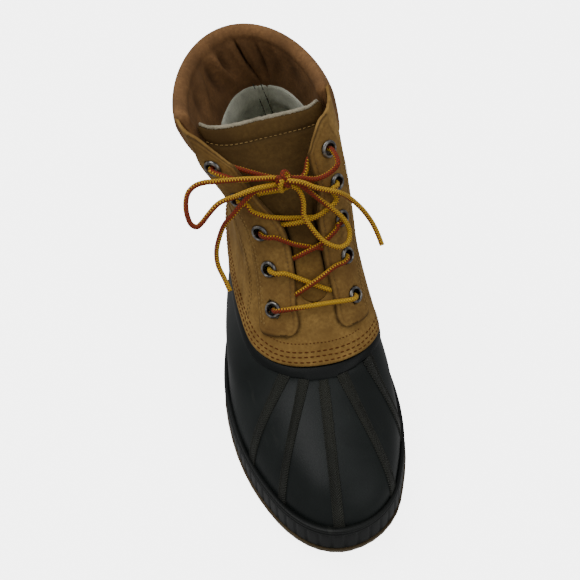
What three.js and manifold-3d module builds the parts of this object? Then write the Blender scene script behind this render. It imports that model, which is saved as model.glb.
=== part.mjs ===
// Duck boot for the right foot: a rubber shell and ribbed sole under a laced leather shaft.
// Units are millimetres. +Z is up, the toe points to -Y and +X is the inner side of the foot.
import * as THREE from "three";
import { mergeVertices } from "three/addons/utils/BufferGeometryUtils.js";
import Module from "manifold-3d";

const wasm = await Module();
wasm.setup();

// Overall sizes of the boot
const soleLength = 305;
const ballWidth = 117;
const shaftHeight = 200;

// Walls and clearances
const pieceGap = 0.3;
const rubberWall = 2.4;
const leatherWall = 2;
const facingWall = 1.6;
const facingGap = 0.6;
const tongueWall = 4.5;
const insoleWall = 5;

// Sole
const treadDepth = 2.5;
const plateWall = 3;
const foxingHeight = 20;
const foxingWall = 3.4;
const foxingLean = 1.4;
const ribPitch = 8.4;
const ribDepth = 0.9;
const beadHeight = 3.4;
const beadRise = 0.7;
const toeSpring = 9;
const heelSpring = 1.5;
const plateLip = 0.8;
const lugWidth = 7.5;
const lugPitch = 15;
const lugSweep = 5;
const lugInset = 3;

// Rim of the rubber shell and the moulded strips on its vamp
const rimBandWidth = 9.5;
const rimBandRise = 1;
const bandStep = 0.4;
const flangeHeight = 8;
const stripWidth = 7;
const stripRise = 0.9;

// Throat, facings, eyelets and laces
const throatHalf = 25;
const throatBase = 0.5 * shaftHeight;
const facingBase = 0.405 * shaftHeight;
const facingWidth = 28;
const eyeletCount = 5;
const eyeletFirst = 0.475 * shaftHeight;
const eyeletPitch = 0.107 * shaftHeight;
const eyeletInset = 15;
const eyeletBore = 3.2;
const eyeletBarrel = 0.8;
const eyeletRadius = 5.6;
const eyeletRise = 1;
const eyeletBevel = 0.9;
const eyeletSides = 7;
const laceDiameter = 3.4;

// Padded collar
const collarOut = 4.5;
const collarIn = 6;
const collarDrop = 34;
const collarPoint = 8;
const collarTuck = 14;
const collarRoll = 5;
const collarSwell = 6;
const collarFront = 0.187 * soleLength;

// Tongue
const tongueBase = 0.42 * shaftHeight;
const tongueTop = 0.985 * shaftHeight;
const tongueHalf = 36;
const tongueNarrow = 0.6;
const tongueLean = 27;
const tongueBendFrom = 0.6 * shaftHeight;
const tongueBendTo = 1.1 * shaftHeight;
const tongueBendPower = 1.2;

// The sole's outline: half widths as shares of the ball width, by share of the length from the toe
const outlineRows = [
  { along: 0, lateral: 0.39, medial: 0.46 },
  { along: 0.06, lateral: 0.4, medial: 0.452 },
  { along: 0.12, lateral: 0.415, medial: 0.438 },
  { along: 0.2, lateral: 0.45, medial: 0.452 },
  { along: 0.3, lateral: 0.503, medial: 0.475 },
  { along: 0.4, lateral: 0.52, medial: 0.462 },
  { along: 0.5, lateral: 0.492, medial: 0.41 },
  { along: 0.62, lateral: 0.425, medial: 0.355 },
  { along: 0.75, lateral: 0.348, medial: 0.332 },
  { along: 0.88, lateral: 0.335, medial: 0.33 },
  { along: 1, lateral: 0.32, medial: 0.32 },
];

// Level sections of the last. Heights are shares of the shaft height, front and back are shares of
// the sole length from the toe, and half, lean and shift are shares of the ball width.
const sectionRows = [
  { high: 0.11, front: 0.013, back: 0.988, half: 0.36, lean: 0, shift: 0.008, square: 2.3 },
  { high: 0.17, front: 0.016, back: 0.992, half: 0.36, lean: 0, shift: 0.02, square: 2.3 },
  { high: 0.22, front: 0.034, back: 0.995, half: 0.36, lean: 0, shift: 0.035, square: 2.3 },
  { high: 0.255, front: 0.072, back: 0.996, half: 0.36, lean: 0, shift: 0.04, square: 2.3 },
  { high: 0.279, front: 0.13, back: 0.996, half: 0.36, lean: 0, shift: 0.045, square: 2.3 },
  { high: 0.299, front: 0.2, back: 0.994, half: 0.36, lean: 0, shift: 0.048, square: 2.3 },
  { high: 0.325, front: 0.284, back: 0.992, half: 0.358, lean: 0, shift: 0.05, square: 2.3 },
  { high: 0.35, front: 0.32, back: 0.99, half: 0.355, lean: 0, shift: 0.055, square: 2.35 },
  { high: 0.4, front: 0.356, back: 0.986, half: 0.348, lean: 0, shift: 0.06, square: 2.4 },
  { high: 0.485, front: 0.402, back: 0.976, half: 0.342, lean: -0.004, shift: 0.062, square: 2.4 },
  { high: 0.585, front: 0.453, back: 0.962, half: 0.346, lean: -0.012, shift: 0.066, square: 2.4 },
  { high: 0.69, front: 0.495, back: 0.952, half: 0.352, lean: -0.03, shift: 0.07, square: 2.5 },
  { high: 0.79, front: 0.526, back: 0.948, half: 0.374, lean: -0.06, shift: 0.055, square: 2.8 },
  { high: 0.895, front: 0.553, back: 0.953, half: 0.404, lean: -0.1, shift: 0.03, square: 3.4 },
  { high: 1, front: 0.576, back: 0.958, half: 0.42, lean: -0.13, shift: 0.005, square: 3.8 },
];

// Height of the leather's lower edge on each side, as a share of the shaft height
const rimRows = [
  { around: 0, lateral: 0.349, medial: 0.349 },
  { around: 0.1, lateral: 0.35, medial: 0.348 },
  { around: 0.2, lateral: 0.36, medial: 0.34 },
  { around: 0.3, lateral: 0.375, medial: 0.318 },
  { around: 0.4, lateral: 0.375, medial: 0.3 },
  { around: 0.5, lateral: 0.365, medial: 0.298 },
  { around: 0.6, lateral: 0.362, medial: 0.312 },
  { around: 0.7, lateral: 0.372, medial: 0.338 },
  { around: 0.8, lateral: 0.39, medial: 0.37 },
  { around: 0.9, lateral: 0.41, medial: 0.402 },
  { around: 1, lateral: 0.42, medial: 0.42 },
];

// Height of the leather's top edge, as a share of the shaft height, from the front to the back
const topRows = [
  { around: 0, high: 0.905 },
  { around: 0.06, high: 0.905 },
  { around: 0.09, high: 0.945 },
  { around: 0.14, high: 0.985 },
  { around: 0.2, high: 0.99 },
  { around: 1, high: 0.99 },
];

// The strips on the vamp: turns of their lower and upper ends
const stripRows = [
  { low: -0.148, top: -0.08 },
  { low: -0.096, top: -0.042 },
  { low: -0.01, top: -0.008 },
  { low: 0.084, top: 0.03 },
  { low: 0.15, top: 0.086 },
];

// Half width of the throat, as a share of its widest, by share of the shaft height
const throatRows = [
  { high: 0.5, half: 0.46 },
  { high: 0.58, half: 0.38 },
  { high: 0.69, half: 0.4 },
  { high: 0.79, half: 0.58 },
  { high: 0.895, half: 0.73 },
  { high: 1, half: 1 },
];

// The lace's free routes: points across, along and up from the middle of the knot
const laceRoutes = {
  lateral_loop: [
    [-5.7, 0.7, 2.6], [-12.5, 0, 4], [-22.7, 0.6, 5], [-31.9, 2.3, 4.3], [-38.9, 2.4, 4.8],
    [-45.1, 1.8, 5.7], [-50.6, -0.2, 6], [-54.9, -3.2, 4.3], [-57.2, -7.2, 0.5],
    [-57.6, -12.2, -4.5], [-56.1, -15.2, -9.8], [-53.2, -16.2, -11.4], [-49.5, -15.2, -9.2],
    [-44.6, -13.2, -4.7], [-38.2, -10.2, -0.9], [-27.7, -5.2, -2], [-16.1, -3.2, -0.3],
    [-6.1, -1.2, -1],
  ],
  medial_loop: [
    [5.9, -2.2, -3.4], [9.1, -3.4, -6], [11.1, -6, -12.6], [10.7, -9.9, -21.3],
    [14.5, -14.3, -28.4], [19.8, -17.8, -35.8], [25.6, -19.2, -40.7], [31.4, -18.6, -43.5],
    [36.2, -15.4, -43.3], [38.1, -11.2, -38.8], [34.9, -8.8, -29.9], [28.3, -7.7, -21.2],
    [20.6, -6.1, -12.9], [12.4, -3.6, -4.4], [6.3, -1.2, 0.2],
  ],
  lateral_end: [
    [-5.5, 1, -3.6], [-11.4, 1.4, -4.4], [-17.9, 0.8, -7], [-24.3, -1.8, -11],
    [-31.3, -4.8, -16.6], [-37, -5.2, -22.9], [-41.5, -5.2, -33.2], [-44.7, -6.2, -44.4],
    [-45, -9.2, -52.9], [-42.3, -14.2, -61], [-40.1, -20.2, -66.4],
  ],
  medial_end: [
    [4.1, -4.4, 3], [11.1, -5.8, 1.6], [18.9, -6.6, -3.2], [32.3, -5.8, -10.2],
    [39.9, -1.2, -20.1], [47.3, -3.2, -29], [53.1, -6.2, -38.9], [55.9, -10.2, -45.5],
    [57.7, -15.2, -51],
  ],
};
const laceSteps = { lateral_loop: 17, medial_loop: 13, lateral_end: 9, medial_end: 8 };
const knotCentre = new THREE.Vector3(-4.7, 4.2, 0.878 * shaftHeight);
const knotSize = [5.2, 4.2, 5];

// A smooth curve through the rows of a table, from one column to another, held level past its ends
function through(rows, from, to, scaleFrom, scaleTo, originTo = 0) {
  const x = rows.map((row) => row[from] * scaleFrom);
  const y = rows.map((row) => originTo + row[to] * scaleTo);
  const last = rows.length - 1;
  const slope = x.map((_, i) => {
    const a = Math.max(i - 1, 0);
    const b = Math.min(i + 1, last);
    return (y[b] - y[a]) / (x[b] - x[a]);
  });
  return (at) => {
    if (at <= x[0]) return y[0];
    if (at >= x[last]) return y[last];
    let i = 0;
    while (at > x[i + 1]) i += 1;
    const span = x[i + 1] - x[i];
    const t = (at - x[i]) / span;
    const rise = y[i + 1] - y[i];
    const bend = t * (1 - t) * (slope[i] * span * (1 - t) - slope[i + 1] * span * t);
    return y[i] + rise * t * t * (3 - 2 * t) + bend;
  };
}

const clamp = (v, low, high) => Math.min(Math.max(v, low), high);
const ease = (v, low, high) => {
  const t = clamp((v - low) / (high - low), 0, 1);
  return t * t * (3 - 2 * t);
};
const rounded = (t, power) => Math.pow(Math.max(1 - Math.pow(clamp(t, 0, 1), power), 0), 1 / power);

const sides = { lateral: -1, medial: 1 };
const lowest = sectionRows[0].high * shaftHeight;
const halfLength = soleLength / 2;
const plateTop = treadDepth + plateWall;
const shellInset = foxingWall + pieceGap * 2;

const outlineHalf = {
  lateral: through(outlineRows, "along", "lateral", 1, ballWidth),
  medial: through(outlineRows, "along", "medial", 1, ballWidth),
};
const toeRound = 0.25;
const heelRound = 0.2;
const heelSquare = 2.2;

// Half width of the sole at a share of its length, on one side
function soleHalf(side, along) {
  const nose = rounded(1 - along / toeRound, 2);
  const tail = rounded(1 - (1 - along) / heelRound, heelSquare);
  return outlineHalf[side](along) * nose * tail;
}

const toFoot = (column) => through(sectionRows, "high", column, shaftHeight, soleLength, -halfLength);
const toWidth = (column) => through(sectionRows, "high", column, shaftHeight, ballWidth);
const frontAt = toFoot("front");
const backAt = toFoot("back");
const halfAt = toWidth("half");
const leanAt = toWidth("lean");
const shiftAt = toWidth("shift");
const squareAt = through(sectionRows, "high", "square", shaftHeight, 1);
const steep = 3;
const halvings = 24;

// Height of the front ridge above a point along the foot
function ridgeHeight(y) {
  if (y >= frontAt(shaftHeight)) return shaftHeight + (y - frontAt(shaftHeight)) * steep;
  let low = lowest;
  let high = shaftHeight;
  for (let i = 0; i < halvings; i += 1) {
    const middle = (low + high) / 2;
    if (frontAt(middle) < y) low = middle;
    else high = middle;
  }
  return (low + high) / 2;
}

// How far the sole has risen off the floor at a point along the foot
const forefootEnd = 0.27;
const heelEnd = 0.91;
function springAt(y) {
  const share = (y + halfLength) / soleLength;
  const toe = clamp((forefootEnd - share) / forefootEnd, 0, 1);
  const heel = clamp((share - heelEnd) / (1 - heelEnd), 0, 1);
  return toeSpring * toe * toe + heelSpring * heel * heel;
}

const shaftTail = 0.32 * soleLength;
const footTop = 0.22 * shaftHeight;
const ankleLow = 0.55 * shaftHeight;

// A point of the last at a height. Turn 0 is the front, 0.5 the back and 0 to 0.5 the inner side.
function lastPoint(turn, height) {
  const z = clamp(height, lowest, shaftHeight);
  const around = ((turn % 1) + 1) % 1;
  const side = around <= 0.5 ? "medial" : "lateral";
  const s = side === "medial" ? around * 2 : 2 - around * 2;
  const front = frontAt(z);
  const back = backAt(z);
  const y = front + ((back - front) * (1 - Math.cos(Math.PI * s))) / 2;
  const reach = halfLength - shellInset;
  const along = y < 0 ? 0.5 + (0.5 * y) / reach : 0.5 + (0.5 * y) / back;
  const narrow = 1 - shellInset / (ballWidth / 2);
  const foot = soleHalf(side, clamp(along, 0, 1)) * narrow;
  const shaft = halfAt(z) * rounded((y - back + shaftTail) / shaftTail, 2);
  const share = ease(z, footTop, ankleLow);
  const base = lowest + springAt(y);
  const climbed = (z - base) / Math.max(ridgeHeight(y) - base, 1e-6);
  const arch = rounded(climbed, squareAt(z));
  const half = s === 0 || s === 1 ? 0 : (foot * (1 - share) + shaft * share) * arch;
  const x = leanAt(z) + shiftAt(z) * (1 - s) + sides[side] * half;
  return new THREE.Vector3(x, y, height);
}

const turnStep = 0.004;
const heightStep = 0.6;
const climbStep = 0.5;
const roundStep = 0.001;

// The outward direction of the last at a point
function lastNormal(turn, height) {
  const z = clamp(height, lowest + heightStep, shaftHeight - heightStep);
  const across = lastPoint(turn + turnStep, z).sub(lastPoint(turn - turnStep, z));
  const upward = lastPoint(turn, z + heightStep).sub(lastPoint(turn, z - heightStep));
  return across.cross(upward).normalize();
}

// A point at a distance off the last, outward when positive
const offLast = (turn, height, distance) =>
  lastPoint(turn, height).addScaledVector(lastNormal(turn, height), distance);

// The height reached by going up the last from a point, or down when the distance is negative
function climb(turn, height, distance) {
  const step = Math.sign(distance) * climbStep;
  let z = height;
  let gone = 0;
  while (gone < Math.abs(distance)) {
    gone += lastPoint(turn, z).distanceTo(lastPoint(turn, z + step));
    z += step;
  }
  return z;
}

// The turn reached by going round the last at one height
function goRound(turn, height, distance) {
  const step = Math.sign(distance) * roundStep;
  let at = turn;
  let gone = 0;
  while (gone < Math.abs(distance)) {
    gone += lastPoint(at, height).distanceTo(lastPoint(at + step, height));
    at += step;
  }
  return at;
}

// The turn on one side where the last is at a point along the foot
function turnAlong(side, y, height) {
  const z = clamp(height, lowest, shaftHeight);
  const share = (y - frontAt(z)) / (backAt(z) - frontAt(z));
  return (sides[side] * Math.acos(clamp(1 - 2 * share, -1, 1))) / (2 * Math.PI);
}

// Makes a closed solid from rings of points, each ring joined to the next and the last to the first
function tubeOfRings(rings, closed) {
  const size = rings[0].length;
  const positions = rings.flat().flatMap((p) => [p.x, p.y, p.z]);
  const index = [];
  const joins = closed ? rings.length : rings.length - 1;
  for (let i = 0; i < joins; i += 1) {
    const next = ((i + 1) % rings.length) * size;
    for (let j = 0; j < size; j += 1) {
      const k = (j + 1) % size;
      index.push(i * size + j, i * size + k, next + k, i * size + j, next + k, next + j);
    }
  }
  if (!closed) {
    const end = (rings.length - 1) * size;
    capOf(rings[0]).forEach(([a, b, c]) => index.push(a, c, b));
    capOf(rings[rings.length - 1]).forEach(([a, b, c]) => index.push(end + a, end + b, end + c));
  }
  return geometryFrom(positions, index);
}

// The triangles that fill a ring of points, seen square to the plane it lies nearest
function capOf(ring) {
  const normal = new THREE.Vector3();
  ring.forEach((point, i) => normal.add(point.clone().cross(ring[(i + 1) % ring.length])));
  const across = ring[1].clone().sub(ring[0]).normalize();
  const along = normal.normalize().cross(across);
  const flat = ring.map((point) => new THREE.Vector2(point.dot(across), point.dot(along)));
  return THREE.ShapeUtils.triangulateShape(flat, []);
}

function geometryFrom(positions, index) {
  const geometry = new THREE.BufferGeometry();
  geometry.setAttribute("position", new THREE.Float32BufferAttribute(positions, 3));
  geometry.setIndex(index);
  return geometry;
}

// Changes a three.js geometry into a solid for cutting and joining
function solid(geometry) {
  const bare = geometry.clone();
  bare.deleteAttribute("normal");
  bare.deleteAttribute("uv");
  const merged = mergeVertices(bare, 1e-4);
  const made = new wasm.Manifold(
    new wasm.Mesh({
      numProp: 3,
      vertProperties: new Float32Array(merged.attributes.position.array),
      triVerts: new Uint32Array(merged.index.array),
    }),
  );
  return made.volume() < 0 ? turnedOut(merged) : made;
}

// A solid whose faces pointed inward, turned round
function turnedOut(geometry) {
  const triVerts = new Uint32Array(geometry.index.array);
  for (let i = 0; i < triVerts.length; i += 3) {
    [triVerts[i + 1], triVerts[i + 2]] = [triVerts[i + 2], triVerts[i + 1]];
  }
  const vertProperties = new Float32Array(geometry.attributes.position.array);
  return new wasm.Manifold(new wasm.Mesh({ numProp: 3, vertProperties, triVerts }));
}

// Changes a solid back into a three.js geometry
function geometryOf(made) {
  const mesh = made.getMesh();
  const count = mesh.vertProperties.length / mesh.numProp;
  const positions = [];
  for (let i = 0; i < count; i += 1) {
    positions.push(...mesh.vertProperties.slice(i * mesh.numProp, i * mesh.numProp + 3));
  }
  return geometryFrom(positions, [...mesh.triVerts]);
}

const prismOf = (rings, closed = false) => solid(tubeOfRings(rings, closed));
const shares = (count) => Array.from({ length: count + 1 }, (_, i) => i / count);
const mix = (a, b, t) => a + (b - a) * t;

const rimAround = {
  lateral: through(rimRows, "around", "lateral", 1, shaftHeight),
  medial: through(rimRows, "around", "medial", 1, shaftHeight),
};
const topAround = through(topRows, "around", "high", 1, shaftHeight);
const aroundOf = (turn) => {
  const around = ((turn % 1) + 1) % 1;
  return around <= 0.5 ? around * 2 : 2 - around * 2;
};
const sideOf = (turn) => (((turn % 1) + 1) % 1 <= 0.5 ? "medial" : "lateral");
const rimTop = (turn) => rimAround[sideOf(turn)](aroundOf(turn));
const leatherTop = (turn) => topAround(aroundOf(turn));

// A point of the sole's edge at a distance in from it
function soleEdge(turn, inset) {
  const normal = lastNormal(turn, lowest).setZ(0).normalize();
  return lastPoint(turn, lowest).addScaledVector(normal, shellInset - inset);
}

const wallTurns = 48;
const shellOuter = [0, 0.28, 0.48, 0.64, 0.78, 0.9, 1];
const shellInner = [0, 0.28, 0.62, 0.84, 1];

// The rubber shell: hollow, open below and on top, with a raised band at its rim
function rubberShell() {
  const rings = [];
  for (let i = 0; i < wallTurns; i += 1) {
    const turn = i / wallTurns;
    const foot = lastPoint(turn, lowest);
    const bottom = plateTop + pieceGap + springAt(foot.y);
    const rim = rimTop(turn);
    const band = climb(turn, rim, -rimBandWidth);
    const top = climb(turn, rim, flangeHeight);
    const outside = [
      ...shellOuter.map((share) => [mix(bottom, band, share), 0]),
      [band + bandStep, rimBandRise],
      [rim, rimBandRise],
      [rim, -pieceGap * 2],
      [top, -pieceGap * 2],
    ];
    const rows = shellInner.map((share) => mix(bottom, band, share));
    const inside = [...rows, top].reverse().map((z) => [z, -rubberWall]);
    rings.push([...outside, ...inside].map(([z, distance]) => offLast(turn, z, distance)));
  }
  return prismOf(rings, true);
}

// Level of the shell at a share of the way from its bottom to the rim's band
function shellLevel(turn, share) {
  const bottom = plateTop + pieceGap + springAt(lastPoint(turn, lowest).y);
  return mix(bottom, climb(turn, rimTop(turn), -rimBandWidth), share);
}

const turnSlack = 0.02;

// The turn between two where the shell crosses the straight line, seen from above, of a strip
function turnOnLine(from, to, start, end, share) {
  let low = Math.min(from, to) - turnSlack;
  let high = Math.max(from, to) + turnSlack;
  for (let i = 0; i < halvings; i += 1) {
    const turn = (low + high) / 2;
    const at = lastPoint(turn, shellLevel(turn, share)).sub(start);
    const across = (end.x - start.x) * at.y - (end.y - start.y) * at.x;
    if (across > 0) low = turn;
    else high = turn;
  }
  return (low + high) / 2;
}

// One raised strip of the vamp, from the foxing up to the rim's band
function vampStrip({ low, top }) {
  const start = lastPoint(low, shellLevel(low, shellOuter[1]));
  const end = lastPoint(top, shellLevel(top, 1));
  const rings = shellOuter.slice(1).map((share, i) => {
    const turn = turnOnLine(low, top, start, end, share);
    const lift = springAt(lastPoint(turn, lowest).y);
    const level = shellLevel(turn, share);
    const z = i === 0 ? Math.max(level, plateTop + foxingHeight + lift + pieceGap * 3) : level;
    const spread = lastPoint(turn + turnStep, z).distanceTo(lastPoint(turn - turnStep, z));
    const reach = (stripWidth * turnStep) / spread;
    return [
      offLast(turn - reach, z, -rubberWall / 2),
      offLast(turn + reach, z, -rubberWall / 2),
      offLast(turn + reach, z, stripRise),
      offLast(turn - reach, z, stripRise),
    ];
  });
  return prismOf(rings);
}

const girthSteps = 400;

// The ribbed foxing band round the shell, with a bead along its top
function foxing() {
  const edge = shares(girthSteps).map((t) => soleEdge(t, 0));
  const girth = edge.slice(1).reduce((sum, point, i) => sum + point.distanceTo(edge[i]), 0);
  const ribs = Math.round(girth / ribPitch);
  const count = ribs * 2;
  const rings = [];
  for (let i = 0; i < count; i += 1) {
    const turn = i / count;
    const rib = i % 2 === 0 ? 0 : ribDepth;
    const lift = springAt(soleEdge(turn, 0).y);
    const low = plateTop + pieceGap + lift;
    const top = plateTop + foxingHeight + lift;
    const ribTop = top - beadHeight;
    const out = (inset, z) => soleEdge(turn, inset).setZ(z);
    rings.push([
      out(rib, low),
      out(rib + foxingLean * 0.7, ribTop),
      out(foxingLean - beadRise, ribTop + bandStep),
      out(foxingLean, top),
      offLast(turn, top, pieceGap * 2),
      offLast(turn, low, pieceGap * 2),
    ]);
  }
  return prismOf(rings, true);
}

const plateTip = 0.006;

// A plate of the sole's outline between two levels, both following the toe and heel spring
function solePlate(inset, low, top, steps) {
  const rings = shares(steps).map((t) => {
    const turn = mix(plateTip, 0.5 - plateTip, t);
    const medial = soleEdge(turn, inset);
    const lateral = soleEdge(-turn, inset);
    return [
      lateral.clone().setZ(low(lateral.y)),
      medial.clone().setZ(low(medial.y)),
      medial.clone().setZ(top(medial.y)),
      lateral.clone().setZ(top(lateral.y)),
    ];
  });
  return prismOf(rings);
}

const waistFront = 0.45;
const waistBack = 0.66;
const archRise = 1.2;

// Rise of the plate's underside over the waist, between forefoot and heel
function archAt(y) {
  const share = (y + halfLength) / soleLength;
  const rise = ease(share, waistFront, waistFront + 0.08);
  const fall = ease(share, waistBack - 0.05, waistBack);
  return archRise * rise * (1 - fall);
}

// The outsole: a plate with swept lugs under the forefoot and the heel
function outsole() {
  const under = (y) => treadDepth + springAt(y) + archAt(y);
  const over = (y) => plateTop + springAt(y);
  let made = solePlate(-plateLip, under, over, 32);
  const cutter = solePlate(lugInset, (y) => springAt(y) - 1, (y) => under(y) + 1, 24);
  let lugs = null;
  const rows = Math.floor(soleLength / lugPitch);
  for (let i = 0; i < rows; i += 1) {
    const y = -halfLength + (i + 0.5) * lugPitch;
    const share = (y + halfLength) / soleLength;
    if (share > waistFront && share < waistBack) continue;
    const rings = shares(4).map((t) => {
      const x = mix(-ballWidth / 2, ballWidth / 2, t);
      const front = y + lugSweep * Math.cos(t * Math.PI * 4) - lugWidth / 2;
      const back = front + lugWidth;
      const root = treadDepth + springAt(y) + plateWall / 2;
      return [
        [front, springAt(front)],
        [back, springAt(back)],
        [back, root],
        [front, root],
      ].map(([at, z]) => new THREE.Vector3(x, at, z));
    });
    const lug = prismOf(rings);
    lugs = lugs ? lugs.add(lug) : lug;
  }
  made = made.add(lugs.intersect(cutter));
  return made;
}

// The insole: a pad inside the shell on the outsole
function insole() {
  const inset = shellInset + rubberWall + pieceGap * 2;
  const low = (y) => plateTop + pieceGap + springAt(y);
  return solePlate(inset, low, (y) => low(y) + insoleWall, 24);
}

const leatherOuter = [0, 0.1, 0.23, 0.38, 0.55, 0.77, 1];
const leatherInner = [0, 0.12, 0.35, 0.6, 1];

// A wall over the last between two distances off it, from the rim to the leather's top
function leatherWallOf(inner, outer, innerShares) {
  const rings = [];
  for (let i = 0; i < wallTurns; i += 1) {
    const turn = i / wallTurns;
    const low = climb(turn, rimTop(turn), pieceGap);
    const level = (share) => mix(low, leatherTop(turn), share);
    rings.push([
      ...leatherOuter.map((share) => offLast(turn, level(share), outer)),
      ...[...innerShares].reverse().map((share) => offLast(turn, level(share), inner)),
    ]);
  }
  return prismOf(rings, true);
}

const throatAt = through(throatRows, "high", "half", shaftHeight, throatHalf);

const cutReach = 12;
const openTop = shaftHeight + 10;

// A block through the front of the leather, between two edges given as distances from the ridge
function frontBlock(rows, from, to, inner, outer) {
  const rings = rows.map((z) => {
    const turns = shares(6).map((t) => {
      const distance = mix(from(z), to(z), t);
      return distance === 0 ? 0 : goRound(0, z, distance);
    });
    return [
      ...turns.map((turn) => offLast(turn, z, outer)),
      ...turns.reverse().map((turn) => offLast(turn, z, inner)),
    ];
  });
  return prismOf(rings);
}

// What the throat takes out of the leather, with a rounded lower end
function throatCut() {
  const arc = shares(3).map((t) => throatBase + t * throatAt(throatBase));
  const rest = shares(6).slice(1).map((t) => mix(arc[3], openTop, t));
  const share = (z) => rounded(1 - (z - throatBase) / throatAt(throatBase), 2);
  const round = (z) => Math.max(throatAt(z) * share(z), 1);
  return frontBlock([...arc, ...rest], (z) => -round(z), round, -cutReach, cutReach);
}

const facingFoot = [0, 0.25, 0.6, 1];
const facingSquare = 2.4;

// One facing beside the throat, cut between two walls over the leather, with a rounded lower end
function facing(side) {
  const near = leatherWall + facingGap;
  const sheet = leatherWallOf(near, near + facingWall, leatherOuter);
  const radius = facingWidth / 2;
  const rows = facingFoot.map((t) => facingBase + t * radius);
  const upper = shares(6).slice(1).map((t) => mix(facingBase + radius, openTop, t));
  const curved = (z) => radius * (1 - rounded(1 - (z - facingBase) / radius, facingSquare));
  const narrow = (z) => Math.min(curved(z), radius - 2);
  const from = (z) => sides[side] * (throatAt(z) + narrow(z));
  const to = (z) => sides[side] * (throatAt(z) + facingWidth - narrow(z));
  return sheet.intersect(frontBlock([...rows, ...upper], from, to, 0, cutReach));
}

// The turn at a station round the collar, which starts and ends level with its front corners
function collarTurn(t, z, slack) {
  const start = turnAlong("medial", collarFront - slack, z);
  const end = 1 + turnAlong("lateral", collarFront - slack, z);
  return mix(start, end, t);
}

// The level of the collar's lower edge, which dips to a point near each end
function collarBottom(t) {
  const near = Math.min(t, 1 - t);
  return shaftHeight - collarDrop - collarPoint * (1 - ease(near, 0.02, 0.14));
}

// The padded collar: a roll round the back and sides that comes to a point at each front corner
function collar() {
  const rim = shaftHeight;
  const rings = shares(24).map((t) => {
    const low = collarBottom(t);
    const drop = rim - low;
    return [
      [low, -collarIn * 0.5],
      [low, leatherWall],
      [low + collarSwell, mix(leatherWall, collarOut, 0.8)],
      [rim - drop * 0.4, collarOut],
      [rim - collarRoll, collarOut * 0.75],
      [rim, collarOut * 0.1],
      [rim, -collarIn * 0.4],
      [rim - collarRoll, -collarIn],
      [rim - drop * 0.5, -collarIn],
      [low - collarTuck, -collarIn],
      [low - collarTuck, -collarIn * 0.6],
    ].map(([z, distance]) => offLast(collarTurn(t, z, 0), z, distance));
  });
  return prismOf(rings);
}

const collarCutReach = 8;

// What the collar takes out of the leather, with its clearance
function collarCut() {
  const rings = shares(24).map((t) => {
    const low = collarBottom(t) - pieceGap * 2;
    const levels = [low, mix(low, shaftHeight, 0.3), mix(low, shaftHeight, 0.7), openTop];
    return [
      ...levels.map((z) => [z, collarCutReach]),
      ...levels.reverse().map((z) => [z, -collarCutReach]),
    ].map(([z, distance]) => offLast(collarTurn(t, z, pieceGap * 3), z, distance));
  });
  return prismOf(rings);
}

// The tongue: a padded sheet sewn under the leather below the throat, leaning back at its top
function tongue() {
  const rings = shares(9).map((t) => {
    const z = mix(tongueBase, tongueTop, t);
    const half = mix(tongueHalf * tongueNarrow, tongueHalf, ease(z, tongueBase, tongueTop));
    const sunk = ease(z, tongueBase, throatBase - 2);
    const depth = mix(pieceGap * 2, laceDiameter + pieceGap * 3, sunk);
    const bend = ease(z, tongueBendFrom, tongueBendTo);
    const lean = tongueLean * Math.pow(bend, tongueBendPower);
    const turns = shares(6).map((u) => (u === 0.5 ? 0 : goRound(0, z, mix(-half, half, u))));
    const at = (turn, off) => offLast(turn, z, off).add(new THREE.Vector3(0, lean, 0));
    return [
      ...turns.map((turn) => at(turn, -depth)),
      ...turns.reverse().map((turn) => at(turn, -depth - tongueWall)),
    ];
  });
  return prismOf(rings);
}

// Distances off the last of a facing's face and of an eyelet's seat and top
const facingFace = leatherWall + facingGap + facingWall;
const eyeletSeat = pieceGap * 3.4;
const eyeletTop = facingFace + eyeletSeat + eyeletRise;
const onFlange = eyeletTop + laceDiameter / 2 + pieceGap * 2;
const eyeletDepth = facingFace + 0.5;
const eyeletHeight = (k) => eyeletFirst + k * eyeletPitch;
const upward = new THREE.Vector3(0, 1, 0);

// A point over the front at a distance round from the ridge
const overFront = (round, z, off) => offLast(round === 0 ? 0 : goRound(0, z, round), z, off);
const eyeletRound = (side, k) => sides[side] * (throatAt(eyeletHeight(k)) + eyeletInset);

// Turns a geometry made along +Y to stand on the front at an eyelet
function standAtEyelet(geometry, side, k) {
  const z = eyeletHeight(k);
  const turn = goRound(0, z, eyeletRound(side, k));
  const seat = offLast(turn, z, facingFace);
  const tilt = new THREE.Quaternion().setFromUnitVectors(upward, lastNormal(turn, z));
  return geometry.applyQuaternion(tilt).translate(seat.x, seat.y, seat.z);
}

// An eyelet: a flange on the facing round a barrel through it and the leather
function eyelet(side, k) {
  const outer = eyeletBore + eyeletBarrel;
  const profile = [
    [outer, eyeletSeat],
    [eyeletRadius, eyeletSeat],
    [eyeletRadius - eyeletBevel, eyeletSeat + eyeletRise],
    [eyeletBore, eyeletSeat + eyeletRise * 0.7],
    [eyeletBore, -eyeletDepth],
    [outer, -eyeletDepth],
    [outer, eyeletSeat],
  ].map(([r, h]) => new THREE.Vector2(r, h));
  return solid(standAtEyelet(new THREE.LatheGeometry(profile, eyeletSides), side, k));
}

// What an eyelet takes out of the facing and the leather
function eyeletHole(side, k) {
  const radius = eyeletBore + eyeletBarrel + pieceGap;
  const pin = new THREE.CylinderGeometry(radius, radius, eyeletDepth * 4, eyeletSides);
  return solid(standAtEyelet(pin, side, k));
}

// A round cord along points, stepped every few diameters
function cordAlong(points, steps, curveSegments = 4) {
  const circle = new THREE.Shape().absarc(0, 0, laceDiameter / 2, 0, Math.PI * 2);
  const extrudePath = new THREE.CatmullRomCurve3(points, false, "centripetal");
  return new THREE.ExtrudeGeometry(circle, { steps, curveSegments, extrudePath });
}

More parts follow.
